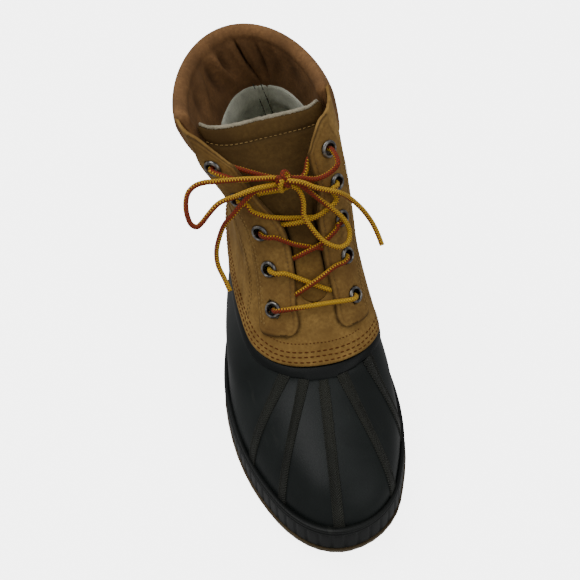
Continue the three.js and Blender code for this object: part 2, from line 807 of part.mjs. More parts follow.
// A strand that comes out from under one edge of the throat and goes over into the next eyelet across
function strand(side, k) {
  const other = side === "lateral" ? "medial" : "lateral";
  const near = sides[side];
  const z = eyeletHeight(k);
  const next = eyeletHeight(k + 1);
  const low = Math.max(z + 1, throatBase + laceDiameter);
  const edge = throatAt(low);
  const farEdge = throatAt(next);
  const hidden = -laceDiameter / 2 - pieceGap;
  const above = facingFace + laceDiameter / 2 + pieceGap;
  const points = [
    overFront(near * (edge + 4), low, hidden),
    overFront(near * (edge - 3), low + 2, hidden),
    overFront(0, mix(low, next, 0.5), leatherWall),
    overFront(-near * (farEdge - 3), next - 4, above),
    overFront(-near * (farEdge + eyeletInset - eyeletRadius), next - 1, onFlange + pieceGap),
    overFront(-near * (farEdge + eyeletInset), next, onFlange),
  ];
  return solid(cordAlong(points, 7, 3));
}

// The bottom bar of the lace, from the first eyelet of one side to the other
function laceBar() {
  const z = eyeletFirst;
  const onRim = eyeletInset - eyeletRadius;
  const edge = throatAt(z);
  const rows = [
    [-edge - eyeletInset, onFlange],
    [-edge - onRim, onFlange],
    [-edge, onFlange],
    [0, facingFace + laceDiameter],
    [edge, onFlange],
    [edge + onRim, onFlange],
    [edge + eyeletInset, onFlange],
  ];
  return cordAlong(rows.map(([round, off]) => overFront(round, z, off)), 8);
}

const part = new THREE.Group();
const leatherColour = 0x76592f;
const suedeColour = 0x70502a;
const rubberColour = 0x2c2e2d;
const gumColour = 0x6a5c42;
const feltColour = 0x6f7068;
const metalColour = 0x2b2b2c;
const laceColour = 0xb8922a;

// Adds a named mesh with its own material
function addPart(name, geometry, color, roughness, metalness = 0) {
  const material = new THREE.MeshStandardMaterial({ color, roughness, metalness });
  const mesh = new THREE.Mesh(geometry, material);
  mesh.name = name;
  part.add(mesh);
  return mesh;
}

const shell = stripRows.reduce((made, row) => made.add(vampStrip(row)), rubberShell());
addPart("outsole", geometryOf(outsole()), gumColour, 0.7);
addPart("foxing", geometryOf(foxing()), rubberColour, 0.6);
addPart("rubber_shell", geometryOf(shell), rubberColour, 0.5);
addPart("insole", geometryOf(insole()), feltColour, 0.9);

let leather = leatherWallOf(0, leatherWall, leatherInner);
leather = leather.subtract(throatCut()).subtract(collarCut());
["lateral", "medial"].forEach((side) => {
  let panel = facing(side);
  for (let k = 0; k < eyeletCount; k += 1) {
    const hole = eyeletHole(side, k);
    panel = panel.subtract(hole);
    leather = leather.subtract(hole);
    addPart(`${side}_eyelet_${k + 1}`, geometryOf(eyelet(side, k)), metalColour, 0.35, 0.8);
  }
  addPart(`${side}_facing`, geometryOf(panel), leatherColour, 0.85);
});
addPart("leather_upper", geometryOf(leather), leatherColour, 0.85);
addPart("collar", geometryOf(collar()), suedeColour, 0.95);
addPart("tongue", geometryOf(tongue()), leatherColour, 0.9);
addPart("lace_bar", laceBar(), laceColour, 0.8);
for (let k = 0; k < eyeletCount - 1; k += 1) {
  const crossing = strand("lateral", k).add(strand("medial", k));
  addPart(`lace_crossing_${k + 1}`, geometryOf(crossing), laceColour, 0.8);
}

const knot = new THREE.IcosahedronGeometry(1, 1).scale(...knotSize).translate(...knotCentre.toArray());
addPart("lace_knot", geometryOf(solid(knot)), laceColour, 0.8);
Object.entries(laceRoutes).forEach(([name, route]) => {
  const points = route.map((offset) => new THREE.Vector3(...offset).add(knotCentre));
  addPart(`lace_${name}`, cordAlong(points, laceSteps[name]), laceColour, 0.8);
});

// Stand the boot on the floor with its middle over the origin, measured without the loose lace
const body = new THREE.Box3();
part.children.forEach((mesh) => {
  if (!/knot|loop|_end/.test(mesh.name)) body.expandByObject(mesh);
});
const middle = body.getCenter(new THREE.Vector3());
part.position.set(-middle.x, -middle.y, -body.min.z);

export default part;
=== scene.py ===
import math

import bmesh
import bpy
import numpy as np
from mathutils import Matrix, Vector


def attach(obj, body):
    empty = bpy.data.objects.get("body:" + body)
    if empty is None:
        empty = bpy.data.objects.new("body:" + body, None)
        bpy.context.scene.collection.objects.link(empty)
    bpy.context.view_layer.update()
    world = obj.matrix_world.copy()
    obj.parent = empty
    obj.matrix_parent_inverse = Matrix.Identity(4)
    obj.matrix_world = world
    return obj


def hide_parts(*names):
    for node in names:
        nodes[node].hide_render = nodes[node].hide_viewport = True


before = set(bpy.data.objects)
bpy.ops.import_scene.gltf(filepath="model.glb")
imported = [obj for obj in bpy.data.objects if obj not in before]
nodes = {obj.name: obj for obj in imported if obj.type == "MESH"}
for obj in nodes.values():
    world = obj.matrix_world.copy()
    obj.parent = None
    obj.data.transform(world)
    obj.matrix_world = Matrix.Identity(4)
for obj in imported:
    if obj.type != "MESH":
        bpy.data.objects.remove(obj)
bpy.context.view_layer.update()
dice = np.random.default_rng(11)

boot = {
    "length": 305, "width": 117, "height": 200,
    "rubber": 2.4, "leather": 2.0, "shellInset": 4.0,
    "plateTop": 5.5, "foxingHeight": 20, "bandWidth": 9.5,
    "throatHalf": 25, "throatBase": 100, "facingBase": 83.5, "facingWidth": 28,
    "eyeletFirst": 95, "eyeletPitch": 21.4, "eyeletInset": 15, "lace": 3.4,
    "shift": (2.7072, -0.1526, 0.0),
}
halfLength = boot["length"] / 2
topLevel = boot["height"]
# drawn a little under its gauge, for the braid gives where it bends
laceHalf = boot["lace"] / 2 - 0.12


def toScene(points):
    return (np.asarray(points, float) + np.array(boot["shift"])) / 1000


# Camera
view = {
    "place": (-0.03659, -0.38724, 0.51851),
    "ahead": (0.05768, 0.66903, -0.75120),
    "upward": (0.14891, 0.70136, 0.69708),
    "lens": 54.65,
}


def makeCamera():
    ahead = Vector(view["ahead"]).normalized()
    right = ahead.cross(Vector(view["upward"])).normalized()
    upward = right.cross(ahead)
    camera = bpy.data.objects.new("camera", bpy.data.cameras.new("camera"))
    camera.data.lens = view["lens"]
    camera.data.sensor_width = 36
    camera.data.clip_start = 0.05
    camera.data.clip_end = 20
    turned = Matrix((right, upward, -ahead)).transposed().to_4x4()
    camera.matrix_world = Matrix.Translation(view["place"]) @ turned
    bpy.context.scene.collection.objects.link(camera)
    bpy.context.scene.camera = camera


makeCamera()
print("camera set")


# The last: the same tables as the solids, in shares of length, width and height
# along the sole: lateral half, medial half
outlineRows = [
    (0, 0.39, 0.46), (0.06, 0.4, 0.452), (0.12, 0.415, 0.438), (0.2, 0.45, 0.452),
    (0.3, 0.503, 0.475), (0.4, 0.52, 0.462), (0.5, 0.492, 0.41), (0.62, 0.425, 0.355),
    (0.75, 0.348, 0.332), (0.88, 0.335, 0.33), (1, 0.32, 0.32),
]
# height: front, back, half, lean, shift, square
sectionRows = [
    (0.11, 0.013, 0.988, 0.36, 0, 0.008, 2.3), (0.17, 0.016, 0.992, 0.36, 0, 0.02, 2.3),
    (0.22, 0.034, 0.995, 0.36, 0, 0.035, 2.3), (0.255, 0.072, 0.996, 0.36, 0, 0.04, 2.3),
    (0.279, 0.13, 0.996, 0.36, 0, 0.045, 2.3), (0.299, 0.2, 0.994, 0.36, 0, 0.048, 2.3),
    (0.325, 0.284, 0.992, 0.358, 0, 0.05, 2.3), (0.35, 0.32, 0.99, 0.355, 0, 0.055, 2.35),
    (0.4, 0.356, 0.986, 0.348, 0, 0.06, 2.4), (0.485, 0.402, 0.976, 0.342, -0.004, 0.062, 2.4),
    (0.585, 0.453, 0.962, 0.346, -0.012, 0.066, 2.4), (0.69, 0.495, 0.952, 0.352, -0.03, 0.07, 2.5),
    (0.79, 0.526, 0.948, 0.374, -0.06, 0.055, 2.8), (0.895, 0.553, 0.953, 0.404, -0.1, 0.03, 3.4),
    (1, 0.576, 0.958, 0.42, -0.13, 0.005, 3.8),
]
# round from the front: lateral height, medial height of the leather's lower edge
rimRows = [
    (0, 0.349, 0.349), (0.1, 0.35, 0.348), (0.2, 0.36, 0.34), (0.3, 0.375, 0.318),
    (0.4, 0.375, 0.3), (0.5, 0.365, 0.298), (0.6, 0.362, 0.312), (0.7, 0.372, 0.338),
    (0.8, 0.39, 0.37), (0.9, 0.41, 0.402), (1, 0.42, 0.42),
]
topRows = [(0, 0.905), (0.06, 0.905), (0.09, 0.945), (0.14, 0.985), (0.2, 0.99), (1, 0.99)]
throatRows = [(0.5, 0.46), (0.58, 0.38), (0.69, 0.4), (0.79, 0.58), (0.895, 0.73), (1, 1)]


def curveThrough(rows, column, across=1.0, scale=1.0, start=0.0):
    x = np.array([row[0] for row in rows], float) * across
    y = np.array([row[column] for row in rows], float) * scale + start
    slope = np.gradient(y, x)
    slope[1:-1] = (y[2:] - y[:-2]) / (x[2:] - x[:-2])

    def curve(at):
        at = np.clip(np.asarray(at, float), x[0], x[-1])
        i = np.clip(np.searchsorted(x, at, side="right") - 1, 0, len(x) - 2)
        span = x[i + 1] - x[i]
        t = (at - x[i]) / span
        bend = t * (1 - t) * (slope[i] * span * (1 - t) - slope[i + 1] * span * t)
        return y[i] + (y[i + 1] - y[i]) * t * t * (3 - 2 * t) + bend

    return curve


def ease(value, low, high):
    t = np.clip((np.asarray(value, float) - low) / (high - low), 0, 1)
    return t * t * (3 - 2 * t)


def rounded(t, power):
    return np.maximum(1 - np.clip(t, 0, 1) ** power, 0) ** (1 / power)


def bell(value, middle, half):
    return np.exp(-((value - middle) / half) ** 2)


def mix(a, b, t):
    return a + (b - a) * t


def unit(ways):
    return ways / np.linalg.norm(ways, axis=-1, keepdims=True)


def sameShape(*values):
    return np.broadcast_arrays(*(np.asarray(value, float) for value in values))


def lengthsAlong(path):
    return np.concatenate([[0], np.cumsum(np.linalg.norm(np.diff(path, axis=0), axis=1))])


def ringRound(across, up, angle):
    return across[..., None, :] * np.cos(angle)[:, None] + up[..., None, :] * np.sin(angle)[:, None]


frontAt, backAt = (
    curveThrough(sectionRows, column, topLevel, boot["length"], -halfLength) for column in (1, 2))
halfAt, leanAt, shiftAt = (curveThrough(sectionRows, column, topLevel, boot["width"]) for column in (3, 4, 5))
squareAt = curveThrough(sectionRows, 6, topLevel)
lateralHalf, medialHalf = (curveThrough(outlineRows, column, 1, boot["width"]) for column in (1, 2))
lateralRim, medialRim = (curveThrough(rimRows, column, 1, topLevel) for column in (1, 2))
topAround = curveThrough(topRows, 1, 1, topLevel)
throatAt = curveThrough(throatRows, 1, topLevel, boot["throatHalf"])
lowLevel = sectionRows[0][0] * topLevel
ridgeLevels = np.linspace(lowLevel, topLevel, 800)
ridgeFronts = frontAt(ridgeLevels)


def ridgeHeight(y):
    above = topLevel + (y - ridgeFronts[-1]) * 3
    return np.where(y >= ridgeFronts[-1], above, np.interp(y, ridgeFronts, ridgeLevels))


# How far the sole's ends lift off the ground, and over which share of the length
springLook = {"toe": 9, "toeShare": 0.27, "heel": 1.5, "heelShare": 0.09}


def springAt(y):
    share = (y + halfLength) / boot["length"]
    toe = np.clip(1 - share / springLook["toeShare"], 0, 1)
    heel = np.clip(1 - (1 - share) / springLook["heelShare"], 0, 1)
    return springLook["toe"] * toe**2 + springLook["heel"] * heel**2


def aroundOf(turn):
    around = np.asarray(turn, float) % 1
    return np.where(around <= 0.5, around * 2, 2 - around * 2), around <= 0.5


# Shares of the length over which toe, heel and the back of the shaft are rounded off, and the shares
# of the height between which the section goes over from foot to shaft
lastLook = {"toe": 0.25, "heel": 0.2, "shaft": 0.32, "footUpTo": 0.22, "shaftFrom": 0.55}
# The outer side of the heel: how far the rubber swells out and how far the leather above it is drawn in,
# each with its place round the boot, its reach there and its heights
heelLook = {
    "swell": 4.2, "swellAt": 0.6, "swellReach": 0.16, "swellStart": (30, 52), "swellEnd": (74, 92),
    "drawIn": 1.4, "drawAt": 0.5, "drawReach": 0.12, "drawLevel": 104, "drawHeight": 15,
}


def lastPoint(turn, level):
    turn, level = sameShape(turn, level)
    z = np.clip(level, lowLevel, topLevel)
    s, medial = aroundOf(turn)
    front, back = frontAt(z), backAt(z)
    y = front + (back - front) * (1 - np.cos(np.pi * s)) / 2
    along = np.where(y < 0, 0.5 + 0.5 * y / (halfLength - boot["shellInset"]), 0.5 + 0.5 * y / back)
    along = np.clip(along, 0, 1)
    ends = rounded(1 - along / lastLook["toe"], 2) * rounded(1 - (1 - along) / lastLook["heel"], 2.2)
    foot = np.where(medial, medialHalf(along), lateralHalf(along)) * ends
    foot = foot * (1 - boot["shellInset"] / (boot["width"] / 2))
    tail = lastLook["shaft"] * boot["length"]
    shaft = halfAt(z) * rounded((y - back + tail) / tail, 2)
    share = ease(z, lastLook["footUpTo"] * topLevel, lastLook["shaftFrom"] * topLevel)
    base = lowLevel + springAt(y)
    climbed = (z - base) / np.maximum(ridgeHeight(y) - base, 1e-6)
    half = (foot * (1 - share) + shaft * share) * rounded(climbed, squareAt(z))
    half = np.where((s <= 0) | (s >= 1), 0, half)
    swell = heelLook["swell"] * bell(s, heelLook["swellAt"], heelLook["swellReach"])
    swell = swell * ease(z, *heelLook["swellStart"]) * (1 - ease(z, *heelLook["swellEnd"]))
    drawn = heelLook["drawIn"] * bell(s, heelLook["drawAt"], heelLook["drawReach"])
    swell = swell - drawn * bell(z, heelLook["drawLevel"], heelLook["drawHeight"])
    x = leanAt(z) + shiftAt(z) * (1 - s) + np.where(medial, half, -half - swell)
    return np.stack([x, y, level], -1)


def lastNormal(turn, level):
    z = np.clip(level, lowLevel + 0.6, topLevel - 0.6)
    across = lastPoint(turn + 0.004, z) - lastPoint(turn - 0.004, z)
    upward = lastPoint(turn, z + 0.6) - lastPoint(turn, z - 0.6)
    out = np.cross(across, upward)
    return out / np.maximum(np.linalg.norm(out, axis=-1, keepdims=True), 1e-9)


def offLast(turn, level, distance):
    turn, level, distance = sameShape(turn, level, distance)
    return lastPoint(turn, level) + lastNormal(turn, level) * distance[..., None]


climbStep = 0.25


# the height reached from a level by going that far up the surface, or down where it is below zero
def climb(turn, level, distance):
    step = math.copysign(climbStep, distance)
    z = np.array(level, float)
    gone = np.zeros_like(z)
    for _ in range(int(abs(distance) / climbStep) + 2):
        pace = np.linalg.norm(lastPoint(turn, z + step) - lastPoint(turn, z), axis=-1)
        go = gone < abs(distance)
        gone = np.where(go, gone + pace, gone)
        z = np.where(go, z + step, z)
    return z


# Distances round the last from its front ridge, tabled every 2 mm of height
tableStep = 2.0
tableLevels = np.arange(20, 216, tableStep)
tableTurns = np.linspace(-0.5, 0.5, 1001)


def tableArcs():
    points = lastPoint(tableTurns[None, :], tableLevels[:, None])
    steps = np.linalg.norm(np.diff(points, axis=1), axis=-1)
    arcs = np.concatenate([np.zeros((len(tableLevels), 1)), np.cumsum(steps, 1)], 1)
    ridge = len(tableTurns) // 2
    return arcs - arcs[:, ridge:ridge + 1]


arcTable = tableArcs()


# the table's row under a height, and the share of the way to the next
def tableRow(level):
    place = np.clip((level - tableLevels[0]) / tableStep, 0, len(tableLevels) - 1.001)
    return place.astype(int), place - place.astype(int)


def turnAt(around, level):
    around, level = sameShape(around, level)
    low, share = tableRow(level)
    turn = np.zeros(around.shape)
    for i in np.unique(low):
        pick = low == i
        below = np.interp(around[pick], arcTable[i], tableTurns)
        above = np.interp(around[pick], arcTable[i + 1], tableTurns)
        turn[pick] = mix(below, above, share[pick])
    return turn


def roundOf(turn, level):
    turn, level = sameShape(turn, level)
    low, share = tableRow(level)
    last = len(tableTurns) - 1
    column = np.clip(((turn + 0.5) % 1) * last, 0, last - 0.001)
    left = column.astype(int)
    below = mix(arcTable[low, left], arcTable[low, left + 1], column - left)
    above = mix(arcTable[low + 1, left], arcTable[low + 1, left + 1], column - left)
    return mix(below, above, share)


def over(around, level, distance):
    return offLast(turnAt(around, level), level, distance)


def rimTop(turn):
    around, medial = aroundOf(turn)
    return np.where(medial, medialRim(around), lateralRim(around))


def turnAlong(side, y, level):
    z = np.clip(level, lowLevel, topLevel)
    share = np.clip((y - frontAt(z)) / (backAt(z) - frontAt(z)), 0, 1)
    return side * np.arccos(1 - 2 * share) / (2 * np.pi)


def soleEdge(turn, inset, level=lowLevel):
    out = lastNormal(turn, np.full_like(np.asarray(turn, float), lowLevel))
    out[..., 2] = 0
    point = lastPoint(turn, lowLevel) + unit(out) * (boot["shellInset"] - np.asarray(inset))[..., None]
    point[..., 2] = level
    return point


# Meshes from grids of points
def gridMesh(name, points, material, uv=None, wrap=False, drop=None, merge=0.0, paintedShadeAndBand=None):
    rows, cols = points.shape[:2]
    coords = toScene(points).reshape(-1, 3)
    i, j = np.meshgrid(np.arange(rows - 1), np.arange(cols if wrap else cols - 1), indexing="ij")
    k = (j + 1) % cols
    faces = np.stack([i * cols + j, i * cols + k, (i + 1) * cols + k, (i + 1) * cols + j], -1)
    keep = np.ones(faces.shape[:2], bool) if drop is None else ~drop
    faces = faces[keep]
    mesh = bpy.data.meshes.new(name)
    mesh.from_pydata(coords.tolist(), [], faces.tolist())
    if uv is not None:
        corner = np.stack([uv[i, j], uv[i, j + 1], uv[i + 1, j + 1], uv[i + 1, j]], 2)[keep]
        layer = mesh.uv_layers.new(name="surface")
        layer.data.foreach_set("uv", corner.reshape(-1).astype(np.float32))
    # per-point mask: painted shade on the leather, the rim band on the rubber
    if paintedShadeAndBand is not None:
        layer = mesh.attributes.new("paintedShadeAndBand", "FLOAT", "POINT")
        layer.data.foreach_set("value", paintedShadeAndBand.reshape(-1).astype(np.float32))
    return finishMesh(name, mesh, material, merge)


def finishMesh(name, mesh, material, merge=0.0):
    if merge:
        work = bmesh.new()
        work.from_mesh(mesh)
        bmesh.ops.remove_doubles(work, verts=work.verts, dist=merge)
        work.to_mesh(mesh)
        work.free()
    mesh.materials.append(material)
    mesh.shade_smooth()
    mesh.update()
    piece = bpy.data.objects.new(name, mesh)
    bpy.context.scene.collection.objects.link(piece)
    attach(piece, "root")
    return piece


def thicken(piece, thickness):
    shell = piece.modifiers.new("thickness", "SOLIDIFY")
    shell.thickness = thickness / 1000
    shell.offset = -1


def smoothPath(points, spacing):
    points = np.asarray(points, float)
    padded = np.vstack([2 * points[0] - points[1], points, 2 * points[-1] - points[-2]])
    out = []
    for a, b, c, d in zip(padded[:-3], padded[1:-2], padded[2:-1], padded[3:]):
        count = max(int(np.linalg.norm(c - b) / spacing), 2)
        roots = [max(np.linalg.norm(q - p), 1e-6) ** 0.5 for p, q in ((a, b), (b, c), (c, d))]
        knots = np.cumsum([0] + roots)
        t = np.linspace(knots[1], knots[2], count, endpoint=False)[:, None]
        ab = (knots[1] - t) / knots[1] * a + t / knots[1] * b
        bc = (knots[2] - t) / (knots[2] - knots[1]) * b + (t - knots[1]) / (knots[2] - knots[1]) * c
        cd = (knots[3] - t) / (knots[3] - knots[2]) * c + (t - knots[2]) / (knots[3] - knots[2]) * d
        abc = (knots[2] - t) / knots[2] * ab + t / knots[2] * bc
        bcd = (knots[3] - t) / (knots[3] - knots[1]) * bc + (t - knots[1]) / (knots[3] - knots[1]) * cd
        out.append((knots[2] - t) / (knots[2] - knots[1]) * abc + (t - knots[1]) / (knots[2] - knots[1]) * bcd)
    dense = np.vstack(out + [points[-1:]])
    steps = lengthsAlong(dense)
    even = np.linspace(0, steps[-1], max(int(steps[-1] / spacing), 2) + 1)
    return np.stack([np.interp(even, steps, dense[:, i]) for i in range(3)], 1)


# Stitches: short lozenges of thread half sunk in the leather, as one mesh for each seam
def stitchLine(path, length, pitch, radius):
    gone = lengthsAlong(path)
    count = int(gone[-1] / pitch)
    starts = (np.arange(count) + 0.5) * gone[-1] / count - length / 2
    along = np.array([0, 0.12, 0.5, 0.88, 1])
    thick = np.array([0.2, 0.8, 1, 0.8, 0.2]) * radius
    at = starts[:, None] + along[None, :] * length
    middle = np.stack([np.interp(at, gone, path[:, i]) for i in range(3)], -1)
    ahead = unit(middle[:, -1] - middle[:, 0])
    across = unit(np.cross(ahead, (0.31, -0.7, 0.64)))
    ring = ringRound(across, np.cross(across, ahead), np.linspace(0, 2 * np.pi, 6, endpoint=False))
    return middle[:, :, None] + ring[:, None] * thick[None, :, None, None]


def makeStitches(name, rows, thread, length, pitch, radius):
    coords, faces, total = [], [], 0
    for row in rows:
        points = stitchLine(smoothPath(row, 1.0), length, pitch, radius)
        count, rings, sides = points.shape[:3]
        n, i, j = np.meshgrid(np.arange(count), np.arange(rings - 1), np.arange(sides), indexing="ij")
        first = total + (n * rings + i) * sides
        faces.append(np.stack([first + j, first + (j + 1) % sides, first + sides + (j + 1) % sides,
                               first + sides + j], -1).reshape(-1, 4))
        coords.append(toScene(points).reshape(-1, 3))
        total += count * rings * sides
    mesh = bpy.data.meshes.new(name)
    mesh.from_pydata(np.vstack(coords).tolist(), [], np.vstack(faces).tolist())
    finishMesh(name, mesh, thread)


# Materials
def colour(code):
    parts = [int(code[i:i + 2], 16) / 255 for i in (1, 3, 5)]
    return (*[c / 12.92 if c <= 0.04045 else ((c + 0.055) / 1.055) ** 2.4 for c in parts], 1)


def perMetre(millimetres):
    return 1000 / millimetres


def addNode(tree, kind, inputs=None, **settings):
    node = tree.nodes.new(kind)
    for name, value in settings.items():
        setattr(node, name, value)
    for socket, value in (inputs or {}).items():
        if isinstance(value, bpy.types.NodeSocket):
            tree.links.new(value, node.inputs[socket])
        else:
            node.inputs[socket].default_value = value
    return node


def startMaterial(name, settings):
    material = bpy.data.materials.new(name)
    material.use_nodes = True
    shader = material.node_tree.nodes["Principled BSDF"]
    for socket, value in settings.items():
        shader.inputs[socket].default_value = value
    return material, material.node_tree, shader


# Vulcanised rubber off the mould: near black, even, softly glossy, with dust and rub marks. Its pores
# are finer than 0.7 mm in the real one, and are drawn that coarse to show at all.
rubberLook = {"dark": "#171b1a", "worn": "#212524", "dust": "#3c3d38", "band": "#0c0e0e", "ior": 1.52,
              "patch": 38, "rub": 9, "pore": 0.7, "column": 3.6, "ridge": 1.6}


def makeRubber(name, look, strips=False):
    material, tree, shader = startMaterial(name, {
        "IOR": look["ior"], "Metallic": 0.0, "Specular IOR Level": 0.19})
    place = addNode(tree, "ShaderNodeTexCoord").outputs["Object"]
    patches = addNode(tree, "ShaderNodeTexNoise", {
        "Vector": place, "Scale": perMetre(look["patch"]), "Detail": 5})
    fine = addNode(tree, "ShaderNodeTexNoise", {
        "Vector": place, "Scale": perMetre(look["pore"]), "Detail": 3})
    rub = addNode(tree, "ShaderNodeTexNoise", {
        "Vector": addNode(tree, "ShaderNodeMapping", {"Vector": place, "Scale": (1, 0.25, 1)}).outputs[0],
        "Scale": perMetre(look["rub"]), "Detail": 6, "Roughness": 0.7})
    worn = addNode(tree, "ShaderNodeMapRange", {
        "Value": patches.outputs[0], "From Min": 0.42, "From Max": 0.66})
    base = addNode(tree, "ShaderNodeMix", {
        0: worn.outputs[0], 6: colour(look["dark"]), 7: colour(look["worn"])}, data_type="RGBA")
    marks = addNode(tree, "ShaderNodeMapRange", {
        "Value": rub.outputs[0], "From Min": 0.61, "From Max": 0.78, "To Max": 0.4})
    dusted = addNode(tree, "ShaderNodeMix", {
        0: marks.outputs[0], 6: base.outputs[2], 7: colour(look["dust"])}, data_type="RGBA")
    # the per-point mask marks the rim band here, which stays cleaner and darker than the wall; on the leather
    # the same mask carries painted shade
    band = addNode(tree, "ShaderNodeAttribute", attribute_name="paintedShadeAndBand")
    banded = addNode(tree, "ShaderNodeMix", {
        0: band.outputs["Fac"], 6: dusted.outputs[2], 7: colour(look["band"])}, data_type="RGBA")
    tree.links.new(banded.outputs[2], shader.inputs["Base Color"])
    gloss = addNode(tree, "ShaderNodeMapRange", {
        "Value": patches.outputs[0], "From Min": 0.3, "From Max": 0.7, "To Min": 0.38, "To Max": 0.54})
    tree.links.new(gloss.outputs[0], shader.inputs["Roughness"])
    bump = addNode(tree, "ShaderNodeBump", {"Height": fine.outputs[0], "Strength": 0.12, "Distance": 0.0003})
    if strips:
        # herringbone: ridges 1.6 mm apart that lean the other way in each 3.6 mm column
        surface = addNode(tree, "ShaderNodeUVMap", uv_map="surface")
        flat = addNode(tree, "ShaderNodeSeparateXYZ", {0: surface.outputs[0]})
        column = addNode(tree, "ShaderNodeMath", {
            0: flat.outputs[0], 1: look["column"]}, operation="PINGPONG")
        lean = addNode(tree, "ShaderNodeMath", {0: column.outputs[0], 1: flat.outputs[1]}, operation="ADD")
        turns = addNode(tree, "ShaderNodeMath", {
            0: lean.outputs[0], 1: 2 * math.pi / look["ridge"]}, operation="MULTIPLY")
        wave = addNode(tree, "ShaderNodeMath", {0: turns.outputs[0]}, operation="SINE")
        bump = addNode(tree, "ShaderNodeBump", {
            "Height": wave.outputs[0], "Strength": 0.9, "Distance": 0.0004, "Normal": bump.outputs[0]})
    tree.links.new(bump.outputs[0], shader.inputs["Normal"])
    return material


# Nubuck: cowhide buffed on the grain side, so a short even nap, matt, darker in random patches where it rubs,
# and painted darker as shade by the per-point mask in creases, recesses and beside the parts that lie on it.
# The real nap is finer than 0.8 mm, and is drawn that coarse to show.
nubuckLook = {"tan": "#ad8849", "brown": "#7d5d2c", "paintedShadeAndBand": "#3a280e", "edge": "#b08c50",
              "patch": 26, "nap": 0.8, "grain": 2.2, "mottle": 0.55}


def makeNubuck(name, look):
    material, tree, shader = startMaterial(name, {
        "IOR": 1.5, "Roughness": 0.88, "Specular IOR Level": 0.3, "Sheen Weight": 0.08,
        "Sheen Roughness": 0.45, "Sheen Tint": colour(look["edge"])})
    place = addNode(tree, "ShaderNodeTexCoord").outputs["Object"]
    patches = addNode(tree, "ShaderNodeTexNoise", {
        "Vector": place, "Scale": perMetre(look["patch"]), "Detail": 6, "Roughness": 0.62})
    grain = addNode(tree, "ShaderNodeTexNoise", {
        "Vector": place, "Scale": perMetre(look["grain"]), "Detail": 4})
    nap = addNode(tree, "ShaderNodeTexNoise", {"Vector": place, "Scale": perMetre(look["nap"]), "Detail": 3})
    shade = addNode(tree, "ShaderNodeMapRange", {
        "Value": patches.outputs[0], "From Min": 0.34, "From Max": 0.66})
    base = addNode(tree, "ShaderNodeMix", {
        0: shade.outputs[0], 6: colour(look["brown"]), 7: colour(look["tan"])}, data_type="RGBA")
    mottle = addNode(tree, "ShaderNodeMapRange", {
        "Value": grain.outputs[0], "From Min": 0.35, "From Max": 0.65, "To Max": look["mottle"]})
    mottled = addNode(tree, "ShaderNodeMix", {
        0: mottle.outputs[0], 6: base.outputs[2], 7: colour(look["brown"])}, data_type="RGBA")
    # painted shade: the per-point mask pulls the nap towards the dark shade colour
    paintedShadeAndBand = addNode(tree, "ShaderNodeAttribute", attribute_name="paintedShadeAndBand")
    paintedShadeMixed = addNode(tree, "ShaderNodeMix", {
        0: paintedShadeAndBand.outputs["Fac"], 6: mottled.outputs[2], 7: colour(look["paintedShadeAndBand"])}, data_type="RGBA")
    tree.links.new(paintedShadeMixed.outputs[2], shader.inputs["Base Color"])
    bump = addNode(tree, "ShaderNodeBump", {"Height": grain.outputs[0], "Strength": 0.25, "Distance": 0.0006})
    bump = addNode(tree, "ShaderNodeBump", {
        "Height": nap.outputs[0], "Strength": 0.35, "Distance": 0.0003, "Normal": bump.outputs[0]})
    tree.links.new(bump.outputs[0], shader.inputs["Normal"])
    return material


# Two-colour round braid of polyester: yellow and red yarns each cover half of the way round, in steps
# of one yarn. bulge: the share by which the yarns stand out; bulgePitch: mm from one to the next;
# core, tip: radius of the lace inside the knot and of the tips.
laceLook = {"yellow": "#e6b42a", "red": "#9a3512", "groove": "#2a1508", "yarn": 1.7, "strands": 8,
            "bulge": 0.035, "bulgePitch": 1.9, "core": 2.6, "tip": 1.5}


